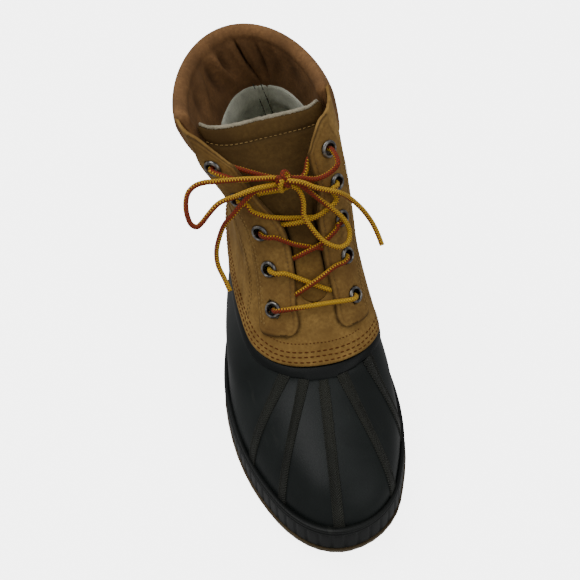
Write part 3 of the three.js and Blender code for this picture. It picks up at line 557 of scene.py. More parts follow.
def makeBraid(name, look):
    material, tree, shader = startMaterial(name, {
        "IOR": 1.5, "Roughness": 0.7, "Specular IOR Level": 0.3, "Sheen Weight": 0.04})
    surface = addNode(tree, "ShaderNodeUVMap", uv_map="surface")
    flat = addNode(tree, "ShaderNodeSeparateXYZ", {0: surface.outputs[0]})
    length = addNode(tree, "ShaderNodeMath", {0: flat.outputs[0], 1: 1 / look["yarn"]}, operation="MULTIPLY")
    leans = []
    for lean in (look["strands"] / 2, -look["strands"] / 2):
        angle = addNode(tree, "ShaderNodeMath", {0: flat.outputs[1], 1: lean}, operation="MULTIPLY")
        total = addNode(tree, "ShaderNodeMath", {0: angle.outputs[0], 1: length.outputs[0]}, operation="ADD")
        folded = addNode(tree, "ShaderNodeMath", {0: total.outputs[0], 1: 0.5}, operation="PINGPONG")
        leans.append(folded.outputs[0])
    weave = addNode(tree, "ShaderNodeMath", {0: leans[0], 1: leans[1]}, operation="MULTIPLY")
    side = addNode(tree, "ShaderNodeMath", {0: flat.outputs[1], 1: 2 * math.pi}, operation="MULTIPLY")
    wave = addNode(tree, "ShaderNodeMath", {0: side.outputs[0]}, operation="SINE")
    step = addNode(tree, "ShaderNodeMath", {0: length.outputs[0], 1: 0.5}, operation="PINGPONG")
    jag = addNode(tree, "ShaderNodeMath", {0: step.outputs[0], 1: 3.0, 2: -0.75}, operation="MULTIPLY_ADD")
    split = addNode(tree, "ShaderNodeMath", {0: wave.outputs[0], 1: jag.outputs[0]}, operation="ADD")
    choose = addNode(tree, "ShaderNodeMapRange", {
        "Value": split.outputs[0], "From Min": -0.06, "From Max": 0.06})
    base = addNode(tree, "ShaderNodeMix", {
        0: choose.outputs[0], 6: colour(look["red"]), 7: colour(look["yellow"])}, data_type="RGBA")
    # painted shade in the grooves between the yarns
    groove = addNode(tree, "ShaderNodeMapRange", {
        "Value": weave.outputs[0], "From Min": 0.0, "From Max": 0.12, "To Min": 0.7, "To Max": 0.0})
    shaded = addNode(tree, "ShaderNodeMix", {
        0: groove.outputs[0], 6: base.outputs[2], 7: colour(look["groove"])}, data_type="RGBA")
    tree.links.new(shaded.outputs[2], shader.inputs["Base Color"])
    bump = addNode(tree, "ShaderNodeBump", {"Height": weave.outputs[0], "Strength": 0.8, "Distance": 0.0008})
    tree.links.new(bump.outputs[0], shader.inputs["Normal"])
    return material


# Wool felt and fleece: no gloss at all, a soft tangle of fibres. They are drawn 0.9 and 1.4 mm apart,
# coarser than real ones, which would not show.
# the felt's colours are painted paler than the felt itself, as painted light for the shaded inside of the boot;
# the fleece keeps its own
feltLook = {"light": "#e6e9d6", "dark": "#b4b7a5", "patch": 14, "fibre": 0.9, "rough": 0.0006}


def makeFelt(name, look):
    material, tree, shader = startMaterial(name, {"IOR": 1.45, "Roughness": 1.0, "Sheen Weight": 0.25})
    place = addNode(tree, "ShaderNodeTexCoord").outputs["Object"]
    patches = addNode(tree, "ShaderNodeTexNoise", {
        "Vector": place, "Scale": perMetre(look["patch"]), "Detail": 5})
    fibres = addNode(tree, "ShaderNodeTexNoise", {
        "Vector": place, "Scale": perMetre(look["fibre"]), "Detail": 5, "Roughness": 0.8, "Distortion": 1.2})
    blend = addNode(tree, "ShaderNodeMath", {0: patches.outputs[0], 1: fibres.outputs[0]}, operation="ADD")
    shade = addNode(tree, "ShaderNodeMapRange", {"Value": blend.outputs[0], "From Min": 0.8, "From Max": 1.2})
    base = addNode(tree, "ShaderNodeMix", {
        0: shade.outputs[0], 6: colour(look["dark"]), 7: colour(look["light"])}, data_type="RGBA")
    tree.links.new(base.outputs[2], shader.inputs["Base Color"])
    bump = addNode(tree, "ShaderNodeBump", {
        "Height": fibres.outputs[0], "Strength": 0.7, "Distance": look["rough"]})
    tree.links.new(bump.outputs[0], shader.inputs["Normal"])
    return material


# Lacquered brass, blackened: a dark gunmetal shine that is worn brighter in spots
metalLook = {"black": "#59595c", "worn": "#b3afa6", "spot": 2.5}


def makeEyeletMetal():
    material, tree, shader = startMaterial("blackened brass", {"Metallic": 1.0})
    place = addNode(tree, "ShaderNodeTexCoord").outputs["Object"]
    wear = addNode(tree, "ShaderNodeTexNoise", {
        "Vector": place, "Scale": perMetre(metalLook["spot"]), "Detail": 4})
    worn = addNode(tree, "ShaderNodeMapRange", {"Value": wear.outputs[0], "From Min": 0.4, "From Max": 0.75})
    base = addNode(tree, "ShaderNodeMix", {
        0: worn.outputs[0], 6: colour(metalLook["black"]), 7: colour(metalLook["worn"])}, data_type="RGBA")
    tree.links.new(base.outputs[2], shader.inputs["Base Color"])
    gloss = addNode(tree, "ShaderNodeMapRange", {"Value": wear.outputs[0], "To Min": 0.24, "To Max": 0.46})
    tree.links.new(gloss.outputs[0], shader.inputs["Roughness"])
    return material


# Bonded nylon thread: dull, a little darker in its own twist, which turns once in 0.9 mm
threadTwist = 0.9


def makeThread(name, light, dark):
    material, tree, shader = startMaterial(name, {"IOR": 1.53, "Roughness": 0.75, "Specular IOR Level": 0.15})
    place = addNode(tree, "ShaderNodeTexCoord").outputs["Object"]
    twist = addNode(tree, "ShaderNodeTexNoise", {
        "Vector": place, "Scale": perMetre(threadTwist), "Detail": 2})
    base = addNode(tree, "ShaderNodeMix", {
        0: twist.outputs[0], 6: colour(dark), 7: colour(light)}, data_type="RGBA")
    tree.links.new(base.outputs[2], shader.inputs["Base Color"])
    return material


shellRubber = makeRubber("moulded rubber", rubberLook)
stripRubber = makeRubber(
    "herringbone rubber", {**rubberLook, "dark": "#2b2c28", "worn": "#383933"}, strips=True)
foxingRubber = makeRubber("foxing rubber", {**rubberLook, "dark": "#161817", "worn": "#1f2120"})
gumRubber = makeRubber("gum rubber", {**rubberLook, "dark": "#54452f", "worn": "#685a42", "dust": "#7e7664"})
shaftNubuck = makeNubuck("nubuck", nubuckLook)
facingNubuck = makeNubuck("facing nubuck", {**nubuckLook, "tan": "#a38044", "brown": "#745427"})
tongueNubuck = makeNubuck("tongue nubuck", {
    **nubuckLook, "tan": "#947339", "brown": "#67491d", "paintedShadeAndBand": "#35250a"})
collarSuede = makeNubuck("collar suede", {
    **nubuckLook, "tan": "#956c43", "brown": "#6f4f2f", "paintedShadeAndBand": "#33210f", "edge": "#a87c50", "patch": 18,
    "nap": 1.1})
liningFelt = makeFelt("wool felt", feltLook)
edgeFleece = makeFelt("fleece", {
    **feltLook, "light": "#c2b99e", "dark": "#948b74", "fibre": 1.4, "rough": 0.0012})
laceBraid = makeBraid("two-colour braid", laceLook)
eyeletMetal = makeEyeletMetal()
lacePlastic = makeThread("acetate film over braid", "#a9803a", "#7a4a22")
tanThread = makeThread("tan thread", "#9a7a4a", "#5d4626")
paleThread = makeThread("pale thread", "#b99a62", "#8a6c3c")
brownThread = makeThread("brown thread", "#6e3a12", "#47230a")
seamThread = makeThread("felt seam thread", "#4b4c40", "#2e2f27")
print("materials made")


# Laces: tubes along paths, with the braid's coordinates: length in mm and turns round the cord
knotMiddle = np.array([-4.7, 4.2, 175.6])
laceRoutes = {
    "lateralLoop": [
        (-2.5, 0.6, 1.4), (-5.7, 0.7, 2.6), (-12.5, 0, 4), (-22.7, 0.6, 5), (-31.9, 2.3, 4.3),
        (-38.9, 2.4, 4.8), (-45.1, 1.8, 5.7), (-50.6, -0.2, 6), (-54.9, -3.2, 4.3),
        (-57.2, -7.2, 0.5), (-57.6, -12.2, -4.5), (-56.1, -15.2, -9.8), (-53.2, -16.2, -11.4),
        (-49.5, -15.2, -9.2), (-44.6, -13.2, -4.7), (-38.2, -10.2, -0.9), (-27.7, -5.2, -2),
        (-16.1, -3.2, -0.3), (-6.1, -1.2, -1), (-2.5, -0.6, -1.4)],
    "medialLoop": [
        (2.5, -1.2, -1.6), (5.9, -2.2, -3.4), (9.1, -3.4, -6), (11.1, -6, -12.6), (10.7, -9.9, -21.3),
        (14.5, -14.3, -28.4), (19.8, -17.8, -35.8), (25.6, -19.2, -40.7), (31.4, -18.6, -43.5),
        (36.2, -15.4, -43.3), (38.1, -11.2, -38.8), (34.9, -8.8, -29.9), (28.3, -7.7, -21.2),
        (20.6, -6.1, -12.9), (12.4, -3.6, -4.4), (6.3, -1.2, 0.2), (2.6, -0.4, 1)],
    "lateralEnd": [
        (-2.2, 0.6, -1.8), (-5.5, 1, -3.6), (-11.4, 1.4, -4.4), (-17.9, 0.8, -7), (-24.3, -1.8, -11),
        (-31.3, -4.8, -16.6), (-37, -5.2, -22.9), (-41.5, -5.2, -33.2), (-44.7, -6.2, -44.4),
        (-45, -9.2, -52.9), (-42.3, -14.2, -61), (-40.1, -20.2, -66.4)],
    "medialEnd": [
        (1.8, -2, 1.8), (4.1, -4.4, 3), (11.1, -5.8, 1.6), (18.9, -6.6, -3.2), (32.3, -5.8, -10.2),
        (39.9, -1.2, -20.1), (47.3, -3.2, -29), (53.1, -6.2, -38.9), (55.9, -10.2, -45.5),
        (57.7, -15.2, -51)],
}
# which way the yellow half looks (to the camera, up, right), turns per 100 mm before and after that
# place, and the place as a share of the cord
laceTwist = {
    "lateralLoop": ((0.1, 1, 0), 0, 0.9, 0.3), "medialLoop": ((0.3, -1, 0), 0, 1.2, 0.55),
    "lateralEnd": ((-0.6, 0, 1), 0.25, 0.25, 0.5), "medialEnd": ((0.9, 0.5, 0), 0.1, 0.1, 0.5),
}
eyeletLevels = [boot["eyeletFirst"] + k * boot["eyeletPitch"] for k in range(5)]


def viewWay(parts):
    ahead, upward = np.array(view["ahead"]), np.array(view["upward"])
    return -ahead * parts[0] + upward * parts[1] + np.cross(ahead, upward) * parts[2]


def laceTube(name, points, twist=((1, 0, 0), 0, 0, 0.5), spacing=0.7, sides=14, radius=laceHalf,
             material=None):
    path = smoothPath(points, spacing)
    ahead = unit(np.gradient(path, axis=0))
    across = [np.cross(ahead[0], (0, 0, 1.0))]
    for direction in ahead[1:]:
        across.append(across[-1] - direction * np.dot(across[-1], direction))
    across = unit(np.array(across))
    up = np.cross(across, ahead)
    gone = lengthsAlong(path)
    angle = np.linspace(0, 2 * np.pi, sides, endpoint=False)
    ring = ringRound(across, up, angle)
    wave = np.cos(angle[None, :] * 4 + gone[:, None] * 2 * np.pi / laceLook["bulgePitch"])
    swell = 1 + laceLook["bulge"] * wave
    points = path[:, None, :] + ring * radius * swell[..., None]
    caps = [np.repeat(path[:1, None, :], sides, 1), np.repeat(path[-1:, None, :], sides, 1)]
    points = np.concatenate([caps[0], points, caps[1]])
    gone = np.concatenate([gone[:1], gone, gone[-1:]])
    looks = viewWay(twist[0])
    place = int(len(path) * twist[3])
    faced = math.atan2(np.dot(up[place], looks), np.dot(across[place], looks)) / (2 * math.pi)
    wound = gone - gone[place]
    wound = np.minimum(wound, 0) * twist[1] / 100 + np.maximum(wound, 0) * twist[2] / 100
    turns = np.linspace(0, 1, sides + 1) + 0.25 - faced
    uv = np.stack(np.broadcast_arrays(gone[:, None], turns[None, :] + wound[:, None]), -1)
    piece = gridMesh(name, points, material or laceBraid, uv, wrap=True, merge=1e-6)
    return piece, path, gone[-1]


# the turns of lace round the knot: which way the yellow half looks, then the points
knotTurns = [
    ((1, 0, 0.3), [(1.2, -2.6, 4.6), (-0.6, -4.2, 3), (-1.6, -5, 0), (-1.5, -4.4, -3.2), (-0.4, -2.6, -5),
                   (0.6, -0.2, -5)]),
    ((-1, 0.2, 0.3), [(4.4, -1.6, 3.2), (1.8, -3.2, 4.2), (0.6, -3, 6), (1.2, -0.6, 7), (3, 0.6, 5.4),
                      (4.4, -0.4, 3)]),
    ((-1, 0, 0), [(3.6, -3.2, -1.8), (1.6, -4, 0.6), (0.4, -2.4, 2.8), (-2.6, 0.2, 3)]),
]


def makeBow():
    for i, (looks, points) in enumerate(knotTurns):
        made, _, _ = laceTube(f"laceKnot{i + 1}", knotMiddle + np.array(points), (looks, 0, 0, 0.5))
    core, _, _ = laceTube(
        "laceKnotCore", knotMiddle + np.array([(-3.4, 0.6, 0), (0, 0, 0.2), (3.4, -0.4, 0)]),
        ((-1, 0, 0), 0, 0, 0.5), radius=laceLook["core"])
    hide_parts("lace_knot")
    for name, points in laceRoutes.items():
        cad = "lace_" + name.replace("Loop", "_loop").replace("End", "_end")
        route = knotMiddle + np.array(points, float)
        piece, path, length = laceTube("lace" + name[0].upper() + name[1:], route, laceTwist[name])
        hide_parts(cad)
        loop = "Loop" in name
        if not loop:
            tip, _, _ = laceTube(name + "Tip", path[-14:], spacing=0.9, sides=12, radius=laceLook["tip"],
                                 material=lacePlastic)


makeBow()
print("bow made")


def eyeletSide(side, k):
    level = eyeletLevels[k]
    return side * (float(throatAt(level)) + boot["eyeletInset"]), level


def placeLace(rows):
    return np.array([over(np.array(r), np.array(z), np.array(d)) for r, z, d in rows])


# Each strand starts inside an eyelet, comes out from under the throat's edge and goes over to the
# next eyelet across. The last pair goes under the facings and up through the top eyelets to the bow.
# What shows of each between the throat's edge and the eyelet: (round, height, off)
strandMiddles = {
    (-1, 0): [(-9.5, 105.5, 3.6), (-4, 108.4, 5.4), (5, 112.6, 6.6), (14.2, 116.2, 7.2)],
    (1, 0): [(8.5, 105.2, 3.2), (1.2, 109, 3.6), (-6.9, 113, 4.6), (-14.9, 116.4, 6.8)],
    (-1, 1): [(-7, 124.6, 3.2), (-1.4, 126.8, 4.4), (9, 130.4, 5.6), (18.5, 136, 7.4)],
    (1, 1): [(9, 127, 2.2), (3.6, 128.7, 2.6), (-6.5, 132, 4), (-16, 137.2, 7)],
    (-1, 2): [(-9.5, 143.3, 1.8), (2.4, 144.2, 3.8), (14.5, 147, 5.4), (23.4, 151.6, 7.6)],
    (1, 2): [(13, 143.4, 0.6), (1.8, 145.7, 1.0), (-8, 147.7, 3.4), (-16.9, 151, 6.8), (-22.4, 155, 7.8)],
    (-1, 3): [(-17, 162, -0.6), (0.3, 164.6, 1.4), (15, 170.4, 0.6)],
    (1, 3): [(17, 162.6, -1.6), (9, 167, -0.8), (-6, 172, -0.2)],
}
strandLooks = {
    (-1, 0): (-0.3, 1, 0), (1, 0): (0.8, 0.5, 0), (-1, 1): (-0.7, 1, 0), (1, 1): (-0.8, 1, 0),
    (-1, 2): (0.8, 0.5, 0), (1, 2): (0.6, 0.8, 0), (-1, 3): (-1, 0.3, 0), (1, 3): (-1, 0.3, 0),
}
# from the top eyelets over the facings to the bow
toKnot = {
    1: knotMiddle + np.array([(34, 2.2, 5), (29, 0.5, 0.5), (20, -1, -1.4), (11, -0.4, 0.6), (4, 0.4, 1)]),
    -1: knotMiddle + np.array([
        (-31.5, 6.5, 3.2), (-25, 4.5, 1.5), (-14, 3.4, 1.6), (-7, 2.6, 0.6), (-2, 1.4, 0)]),
}


def strandRows(side, k):
    start, level = eyeletSide(side, k)
    far, above = eyeletSide(-side, k + 1)
    middles = strandMiddles[(side, k)]
    low = middles[0][1] - 1
    edge, farEdge = float(throatAt(low)), float(throatAt(above))
    rows = [(start, level, -2.6), (start - side * 3, mix(level, low, 0.3), -2.6),
            (side * (edge + 3), mix(level, low, 0.8), -2.0), *middles]
    if k == 3:
        rows += [(-side * (farEdge + 4), above - 2.5, -2.2), (far + side * 3, above - 0.8, -2.8),
                 (far, above, -2.2), (far, above + 0.2, 2.5), (far, above + 0.2, 6.4)]
    else:
        rows += [(far + side * 6.4, above - 0.4, 7.9), (far + side * 3, above - 0.2, 7.2),
                 (far + side * 0.6, above, 4.4), (far, above, 0.5), (far, above, -2.6)]
    return rows


def makeStrands():
    left, level = eyeletSide(-1, 0)
    right, _ = eyeletSide(1, 0)
    bar = [(left, level, -2.6), (left, level, 0.5), (left + 0.6, level, 4.4), (left + 3, level + 0.3, 7.2),
           (left + 6.6, level + 1.6, 7.9), (-8, level + 3.8, 5.6), (2, level + 4.2, 5.0),
           (10, level + 3.6, 5.6), (right - 6.6, level + 1, 7.9), (right - 3, level, 7.2),
           (right - 0.6, level, 4.4), (right, level, 0.5), (right, level, -2.6)]
    piece, _, _ = laceTube("laceBar", placeLace(bar), ((1, 0.3, 0), 1.5, 0, 0.5))
    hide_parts("lace_bar")
    for (side, k), looks in strandLooks.items():
        points = placeLace(strandRows(side, k))
        if k == 3:
            points = np.vstack([points, toKnot[-side]])
        word = "Lateral" if side < 0 else "Medial"
        place = 0.5 if k < 3 else 0.9 if side < 0 else 0.4
        piece, _, _ = laceTube(f"laceStrand{word}{k + 1}", points, (looks, 0.1, 0.1, place))
        if side < 0:
            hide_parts(f"lace_crossing_{k + 1}")


makeStrands()
print("strands made")


# Rubber shell: a moulded wall with a raised band at the rim and a flange inside the leather
shellLook = {"turns": 360, "bodyRows": 44, "bandRise": 1.0, "bandEdge": 1.6, "flange": 8}


def shellBottom(turn):
    return boot["plateTop"] + 0.3 + springAt(lastPoint(turn, lowLevel)[..., 1])


def shellLevel(turn, share):
    return mix(shellBottom(turn), climb(turn, rimTop(turn), -boot["bandWidth"]), share)


def makeShell():
    turn = np.linspace(0, 1, shellLook["turns"] + 1)
    rim = rimTop(turn)
    band = climb(turn, rim, -boot["bandWidth"])
    bottom = shellBottom(turn)
    rows = [(mix(bottom, band, share), 0.0) for share in np.linspace(0, 1, shellLook["bodyRows"])]
    for t in np.linspace(0, 1, 7)[1:]:
        edge = mix(band, climb(turn, band, shellLook["bandEdge"]), t)
        rows.append((edge, shellLook["bandRise"] * ease(t, 0, 1)))
    start = climb(turn, band, shellLook["bandEdge"])
    for t in np.linspace(0, 1, 8)[1:]:
        crown = 0.35 * math.sin(math.pi * t)
        rows.append((mix(start, rim - 0.4, t), shellLook["bandRise"] + crown))
    rows += [(rim, 0.7), (rim + 0.1, 0.1), (rim + 0.1, -0.6), (climb(turn, rim, shellLook["flange"]), -0.6)]
    inner = climb(turn, rim, shellLook["flange"])
    rows += [(mix(inner, bottom, share), -boot["rubber"]) for share in np.linspace(0, 1, 24)]
    rows.append((bottom, 0.0))
    points = np.stack([offLast(turn[:-1], np.broadcast_to(z, turn.shape)[:-1], d) for z, d in rows])
    dark = np.array([0.75 if d > 0.3 and i > shellLook["bodyRows"] else 0 for i, (_, d) in enumerate(rows)])
    piece = gridMesh("rubberShell", points, shellRubber, wrap=True,
                     paintedShadeAndBand=np.broadcast_to(dark[:, None], points.shape[:2]))
    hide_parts("rubber_shell")


# Raised strips on the vamp, straight seen from above: lower turn, upper turn, half width. The line of
# each is taken at the share "aim" of the wall's height and at its top.
stripRows = [
    (-0.148, -0.0615, 4.0), (-0.096, -0.0325, 3.5), (-0.008, -0.003, 3.3),
    (0.084, 0.03, 4.0), (0.15, 0.086, 5),
]
stripLook = {"rows": 90, "aim": 0.28, "low": 0.2, "high": 1.004}


def stripTurns(low, high, shares):
    start, end = lastPoint(low, shellLevel(low, stripLook["aim"])), lastPoint(high, shellLevel(high, 1.0))
    a = np.full(len(shares), min(low, high) - 0.02)
    b = np.full(len(shares), max(low, high) + 0.02)
    for _ in range(24):
        turn = (a + b) / 2
        at = lastPoint(turn, shellLevel(turn, shares)) - start
        across = (end[0] - start[0]) * at[:, 1] - (end[1] - start[1]) * at[:, 0]
        a = np.where(across > 0, turn, a)
        b = np.where(across > 0, b, turn)
    return (a + b) / 2


def makeStrips():
    across = np.array([-1, -0.97, -0.9, -0.78, -0.72, -0.66, -0.3, 0, 0.3, 0.66, 0.72, 0.78, 0.9, 0.97, 1])
    rise = np.array([-1.2, 0.55, 0.9, 0.9, 0.5, 0.62, 0.66, 0.68, 0.66, 0.62, 0.5, 0.9, 0.9, 0.55, -1.2])
    for i, (low, high, half) in enumerate(stripRows):
        shares = np.linspace(stripLook["low"], stripLook["high"], stripLook["rows"])
        turn = stripTurns(low, high, shares)
        level = shellLevel(turn, shares)
        foxingTop = boot["plateTop"] + boot["foxingHeight"] + springAt(lastPoint(turn, lowLevel)[:, 1])
        keep = level > foxingTop - 1.5
        turn, level = turn[keep], level[keep]
        spread = np.linalg.norm(lastPoint(turn + 0.004, level) - lastPoint(turn - 0.004, level), axis=1)
        reach = half * 0.008 / spread
        points = offLast(turn[:, None] + reach[:, None] * across, level[:, None],
                         np.broadcast_to(rise, (len(turn), len(across))))
        gone = lengthsAlong(points[:, len(across) // 2])
        uv = np.stack(np.broadcast_arrays((across[None, :] + 1) * half, gone[:, None]), -1)
        piece = gridMesh(f"vampStrip{i + 1}", points, stripRubber, uv)


# Foxing: flat ribs with a groove between, under a double bead
foxingLook = {"pitch": 8.4, "depth": 0.8, "perRib": 12}


def makeFoxing():
    turns = np.linspace(0, 1, 801)
    gone = lengthsAlong(soleEdge(turns, 0.0))
    count = round(gone[-1] / foxingLook["pitch"]) * foxingLook["perRib"]
    turn = np.interp(np.arange(count) / count, gone / gone[-1], turns)
    groove = np.abs(np.cos(np.pi * np.arange(count) / foxingLook["perRib"])) ** 14
    lift = springAt(soleEdge(turn, 0.0)[:, 1])
    low = boot["plateTop"] + 0.3 + lift
    high = boot["plateTop"] + boot["foxingHeight"] + lift
    rows = []
    # share of the height, distance in from the edge, share of the groove
    for share, inset, cut in [
            (0, 0.9, 0), (0.015, 0.35, 0), (0.05, 0.1, 0.4), (0.1, 0.1, 1), (0.3, 0.3, 1), (0.5, 0.5, 1),
            (0.68, 0.75, 1), (0.74, 0.9, 1), (0.77, 1.1, 0.2), (0.79, 0.75, 0), (0.81, 0.55, 0), (0.84, 0.6, 0),
            (0.86, 1.0, 0), (0.875, 1.25, 0), (0.89, 1.0, 0), (0.92, 0.75, 0), (0.96, 0.8, 0), (0.985, 1.1, 0),
            (1.0, 1.7, 0)]:
        rows.append(soleEdge(turn, inset + groove * cut * foxingLook["depth"], mix(low, high, share)))
    rows.append(offLast(turn, high - 0.2, -0.5))
    rows.append(offLast(turn, low, -0.5))
    rows.append(rows[0])
    piece = gridMesh("foxingBand", np.stack(rows), foxingRubber, wrap=True, merge=1e-6)
    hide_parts("foxing")


makeShell()
makeStrips()
makeFoxing()
nodes["outsole"].data.materials.clear()
nodes["outsole"].data.materials.append(gumRubber)
print("rubber made")


# Leather shaft
# front: share of the columns ahead of the collar; split: share of the rows under the waist line, which
# runs "waist" mm under the collar's points; hole: radius round each eyelet's middle
shaftLook = {"across": 340, "rows": 110, "thickness": 1.9, "front": 0.12, "split": 0.72, "waist": 5,
             "hole": 4.4}


# half of the opening between the facings, a little wider than the eyelets' line at the top
def openHalf(level):
    return throatAt(level) + 3.2 * ease(level, 142, 160)


def throatHalfAt(level):
    base = boot["throatBase"]
    radius = float(throatAt(base))
    share = rounded(1 - (level - base) / radius, 2)
    return np.where(level <= base, 0, openHalf(level) * share)


# frontMedial, frontLateral: how far back the collar starts; step: the share of it at each end where the
# shaft still reaches the top; cornerLevel: the height at which the ends are taken for the shaft
collarLook = {"frontMedial": 57.0, "frontLateral": 46.0, "drop": 34, "point": 8, "tuck": 14, "out": 4.5,
              "in": 6.0, "turns": 330, "girth": 350, "step": 0.02, "cornerLevel": 175.0}


def collarEnds(level):
    lateral = turnAlong(-1, collarLook["frontLateral"], level)
    return turnAlong(1, collarLook["frontMedial"], level), 1 + lateral


def collarBottom(t):
    near = np.minimum(t, 1 - t)
    return topLevel - collarLook["drop"] - collarLook["point"] * (1 - ease(near, 0.02, 0.14))


def shaftTop(turn):
    turn = np.asarray(turn, float) % 1
    start, end = collarEnds(collarLook["cornerLevel"])
    t = (turn - start) / (end - start)
    under = (t > collarLook["step"]) & (t < 1 - collarLook["step"])
    return np.where(under, collarBottom(np.clip(t, 0, 1)) + 1.2, topAround(aroundOf(turn)[0]))


# Folds in the leather: points as (distance round from the front ridge, height), half width, depth
shaftFolds = [
    ([(60, 152), (64, 130), (67, 102)], 4.5, 1.8), ([(76, 160), (79, 130), (74, 98)], 6, 1.9),
    ([(56, 116), (66, 106), (82, 104)], 4, 1.3), ([(-58, 142), (-63, 124), (-62, 102)], 4, 1.4),
    ([(-56, 112), (-66, 104), (-82, 104)], 4, 1.2), ([(-58, 164), (-66, 153), (-80, 148)], 4, 1.2),
    ([(108, 144), (124, 120), (140, 98)], 7, 1.8), ([(-108, 144), (-124, 120), (-140, 98)], 7, 1.8),
    ([(92, 118), (122, 108), (154, 116)], 5, 1.4), ([(-92, 120), (-122, 110), (-154, 118)], 5, 1.4),
    ([(-24, 88), (-4, 84), (20, 88)], 4, 0.5), ([(-66, 92), (-70, 84), (-68, 78)], 3, 0.6),
    ([(60, 94), (66, 86), (70, 78)], 3, 0.6),
]


def foldDepth(around, level, folds):
    total = np.zeros(np.broadcast(around, level).shape)
    for points, width, depth in folds:
        points = np.array(points, float)
        near = np.full(total.shape, 1e9)
        along = np.zeros(total.shape)
        gone = lengthsAlong(points)
        for a, b, start, length in zip(points[:-1], points[1:], gone, np.diff(gone)):
            way = unit(b - a)
            t = np.clip((around - a[0]) * way[0] + (level - a[1]) * way[1], 0, length)
            distance = np.hypot(around - a[0] - way[0] * t, level - a[1] - way[1] * t)
            closer = distance < near
            near = np.where(closer, distance, near)
            along = np.where(closer, start + t, along)
        fade = np.sin(np.pi * np.clip(along / gone[-1], 0.02, 0.98)) ** 0.7
        total += depth * fade * bell(near, 0, width)
    return total


def holeMask(around, level, radius):
    middleRound = (around[:-1, :-1] + around[1:, 1:]) / 2
    middleLevel = (level[:-1, :-1] + level[1:, 1:]) / 2
    drop = np.zeros(middleRound.shape, bool)
    for r, z in [eyeletSide(side, k) for side in (-1, 1) for k in range(5)]:
        drop |= np.hypot(middleRound - r, middleLevel - z) < radius
    return drop


def makeShaft():
    across = np.linspace(0, 1, shaftLook["across"] + 1)[None, :]
    along = np.linspace(0, 1, shaftLook["rows"] + 1)[:, None]
    turn = np.broadcast_to(across, (along.shape[0], across.shape[1]))
    # a column runs down from each front end of the collar, where the top edge steps
    front, split = shaftLook["front"], shaftLook["split"]
    ends, step = collarEnds(collarLook["cornerLevel"]), collarLook["step"] - 1e-4
    first, last = mix(*ends, step), mix(*ends, 1 - step)
    waist = topLevel - collarLook["drop"] - collarLook["point"] - shaftLook["waist"]
    for _ in range(5):
        low = climb(turn, rimTop(turn), 0.3)
        level = np.where(along < split, mix(low, waist, along / split),
                         mix(waist, shaftTop(turn), (along - split) / (1 - split)))
        half = throatHalfAt(level)
        start, end = turnAt(half, level), turnAt(-half, level) + 1
        turn = np.where(across < front, mix(start, first, across / front),
                        mix(first, last, (across - front) / (1 - 2 * front)))
        turn = np.where(across > 1 - front, mix(last, end, (across - 1 + front) / front), turn)
    around = roundOf(turn, level)
    around[:, 0], around[:, -1] = half[:, 0], -half[:, -1]
    sunk = foldDepth(around, level, shaftFolds)
    points = offLast(turn, level, boot["leather"] - sunk)
    uv = np.stack([around, level], -1)
    # painted shadow: a dark line beside the facings' inner edges and under their lower ends, added to painted
    # shade in the creases
    inner, outer = facingEdges(level)
    out = np.abs(around)
    under = bell(out, inner, 0.8) * (level > boot["facingBase"] - 1)
    slope = facingLook["footSlope"] * np.clip((out - inner) / boot["facingWidth"], 0, 1)
    foot = bell(level, boot["facingBase"] - slope, 0.8) * (out > inner - 1) * (out < outer)
    paintedShadeAndBand = np.clip(np.minimum(sunk * 0.22, 0.4) + 0.7 * np.maximum(under, foot), 0, 0.85)
    piece = gridMesh("leatherShaft", points, shaftNubuck, uv, drop=holeMask(around, level, shaftLook["hole"]),
                     merge=1e-6, paintedShadeAndBand=paintedShadeAndBand)
    thicken(piece, shaftLook["thickness"])
    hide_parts("leather_upper")


facingLook = {"off": 4.0, "thickness": 1.7, "innerCorner": 9.5, "outerCorner": 3, "footSlope": 2.5,
              "topTaper": 10, "hole": 4.2}


def facingEdges(level):
    above = level - boot["facingBase"]
    inner, outer = facingLook["innerCorner"], facingLook["outerCorner"]
    cutIn = inner * (1 - rounded(1 - np.clip(above / inner, 0, 1), 2.3))
    cutOut = outer * (1 - rounded(1 - np.clip(above / outer, 0, 1), 2))
    taper = facingLook["topTaper"] * ease(level, 174, 197)
    return openHalf(level) + cutIn, throatAt(level) + boot["facingWidth"] - cutOut - taper


def makeFacing(side, word, cad):
    u = np.array([0, 0.006, 0.02, 0.045, *np.linspace(0.08, 0.92, 26), 0.955, 0.98, 0.994, 1])[None, :]
    v = np.array([0, 0.002, 0.005, 0.01, 0.017, 0.026, *np.linspace(0.036, 0.985, 110), 0.993, 0.998, 1])
    v = v[:, None]
    level = np.broadcast_to(mix(boot["facingBase"], 190, v), (v.shape[0], u.shape[1]))
    slope = facingLook["footSlope"] * u
    for _ in range(4):
        inner, outer = facingEdges(level + slope * (1 - v))
        around = side * mix(inner, outer, u)
        turn = turnAt(around, level)
        level = mix(boot["facingBase"] - slope, topAround(aroundOf(turn)[0]), v)
    edge = np.minimum(np.minimum(u, 1 - u) * boot["facingWidth"], np.minimum(v, 1 - v) * 100)
    drop = 0.8 * (1 - ease(edge, 0, 1.3)) + 0.25 * bell(edge, 3, 0.6)
    points = offLast(turn, level, facingLook["off"] - drop)
    if side < 0:
        points, around, level, drop = points[:, ::-1], around[:, ::-1], level[:, ::-1], drop[:, ::-1]
    uv = np.stack([around, level], -1)
    # painted shade: the sunk edges and the groove 3 mm in are also painted darker through the mask
    piece = gridMesh(word + "Facing", points, facingNubuck, uv, paintedShadeAndBand=np.clip(drop * 0.9, 0, 0.8),
                     drop=holeMask(around, level, facingLook["hole"]))
    thicken(piece, facingLook["thickness"])
    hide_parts(cad)


makeShaft()
makeFacing(-1, "lateral", "lateral_facing")
makeFacing(1, "medial", "medial_facing")
print("shaft and facings made")


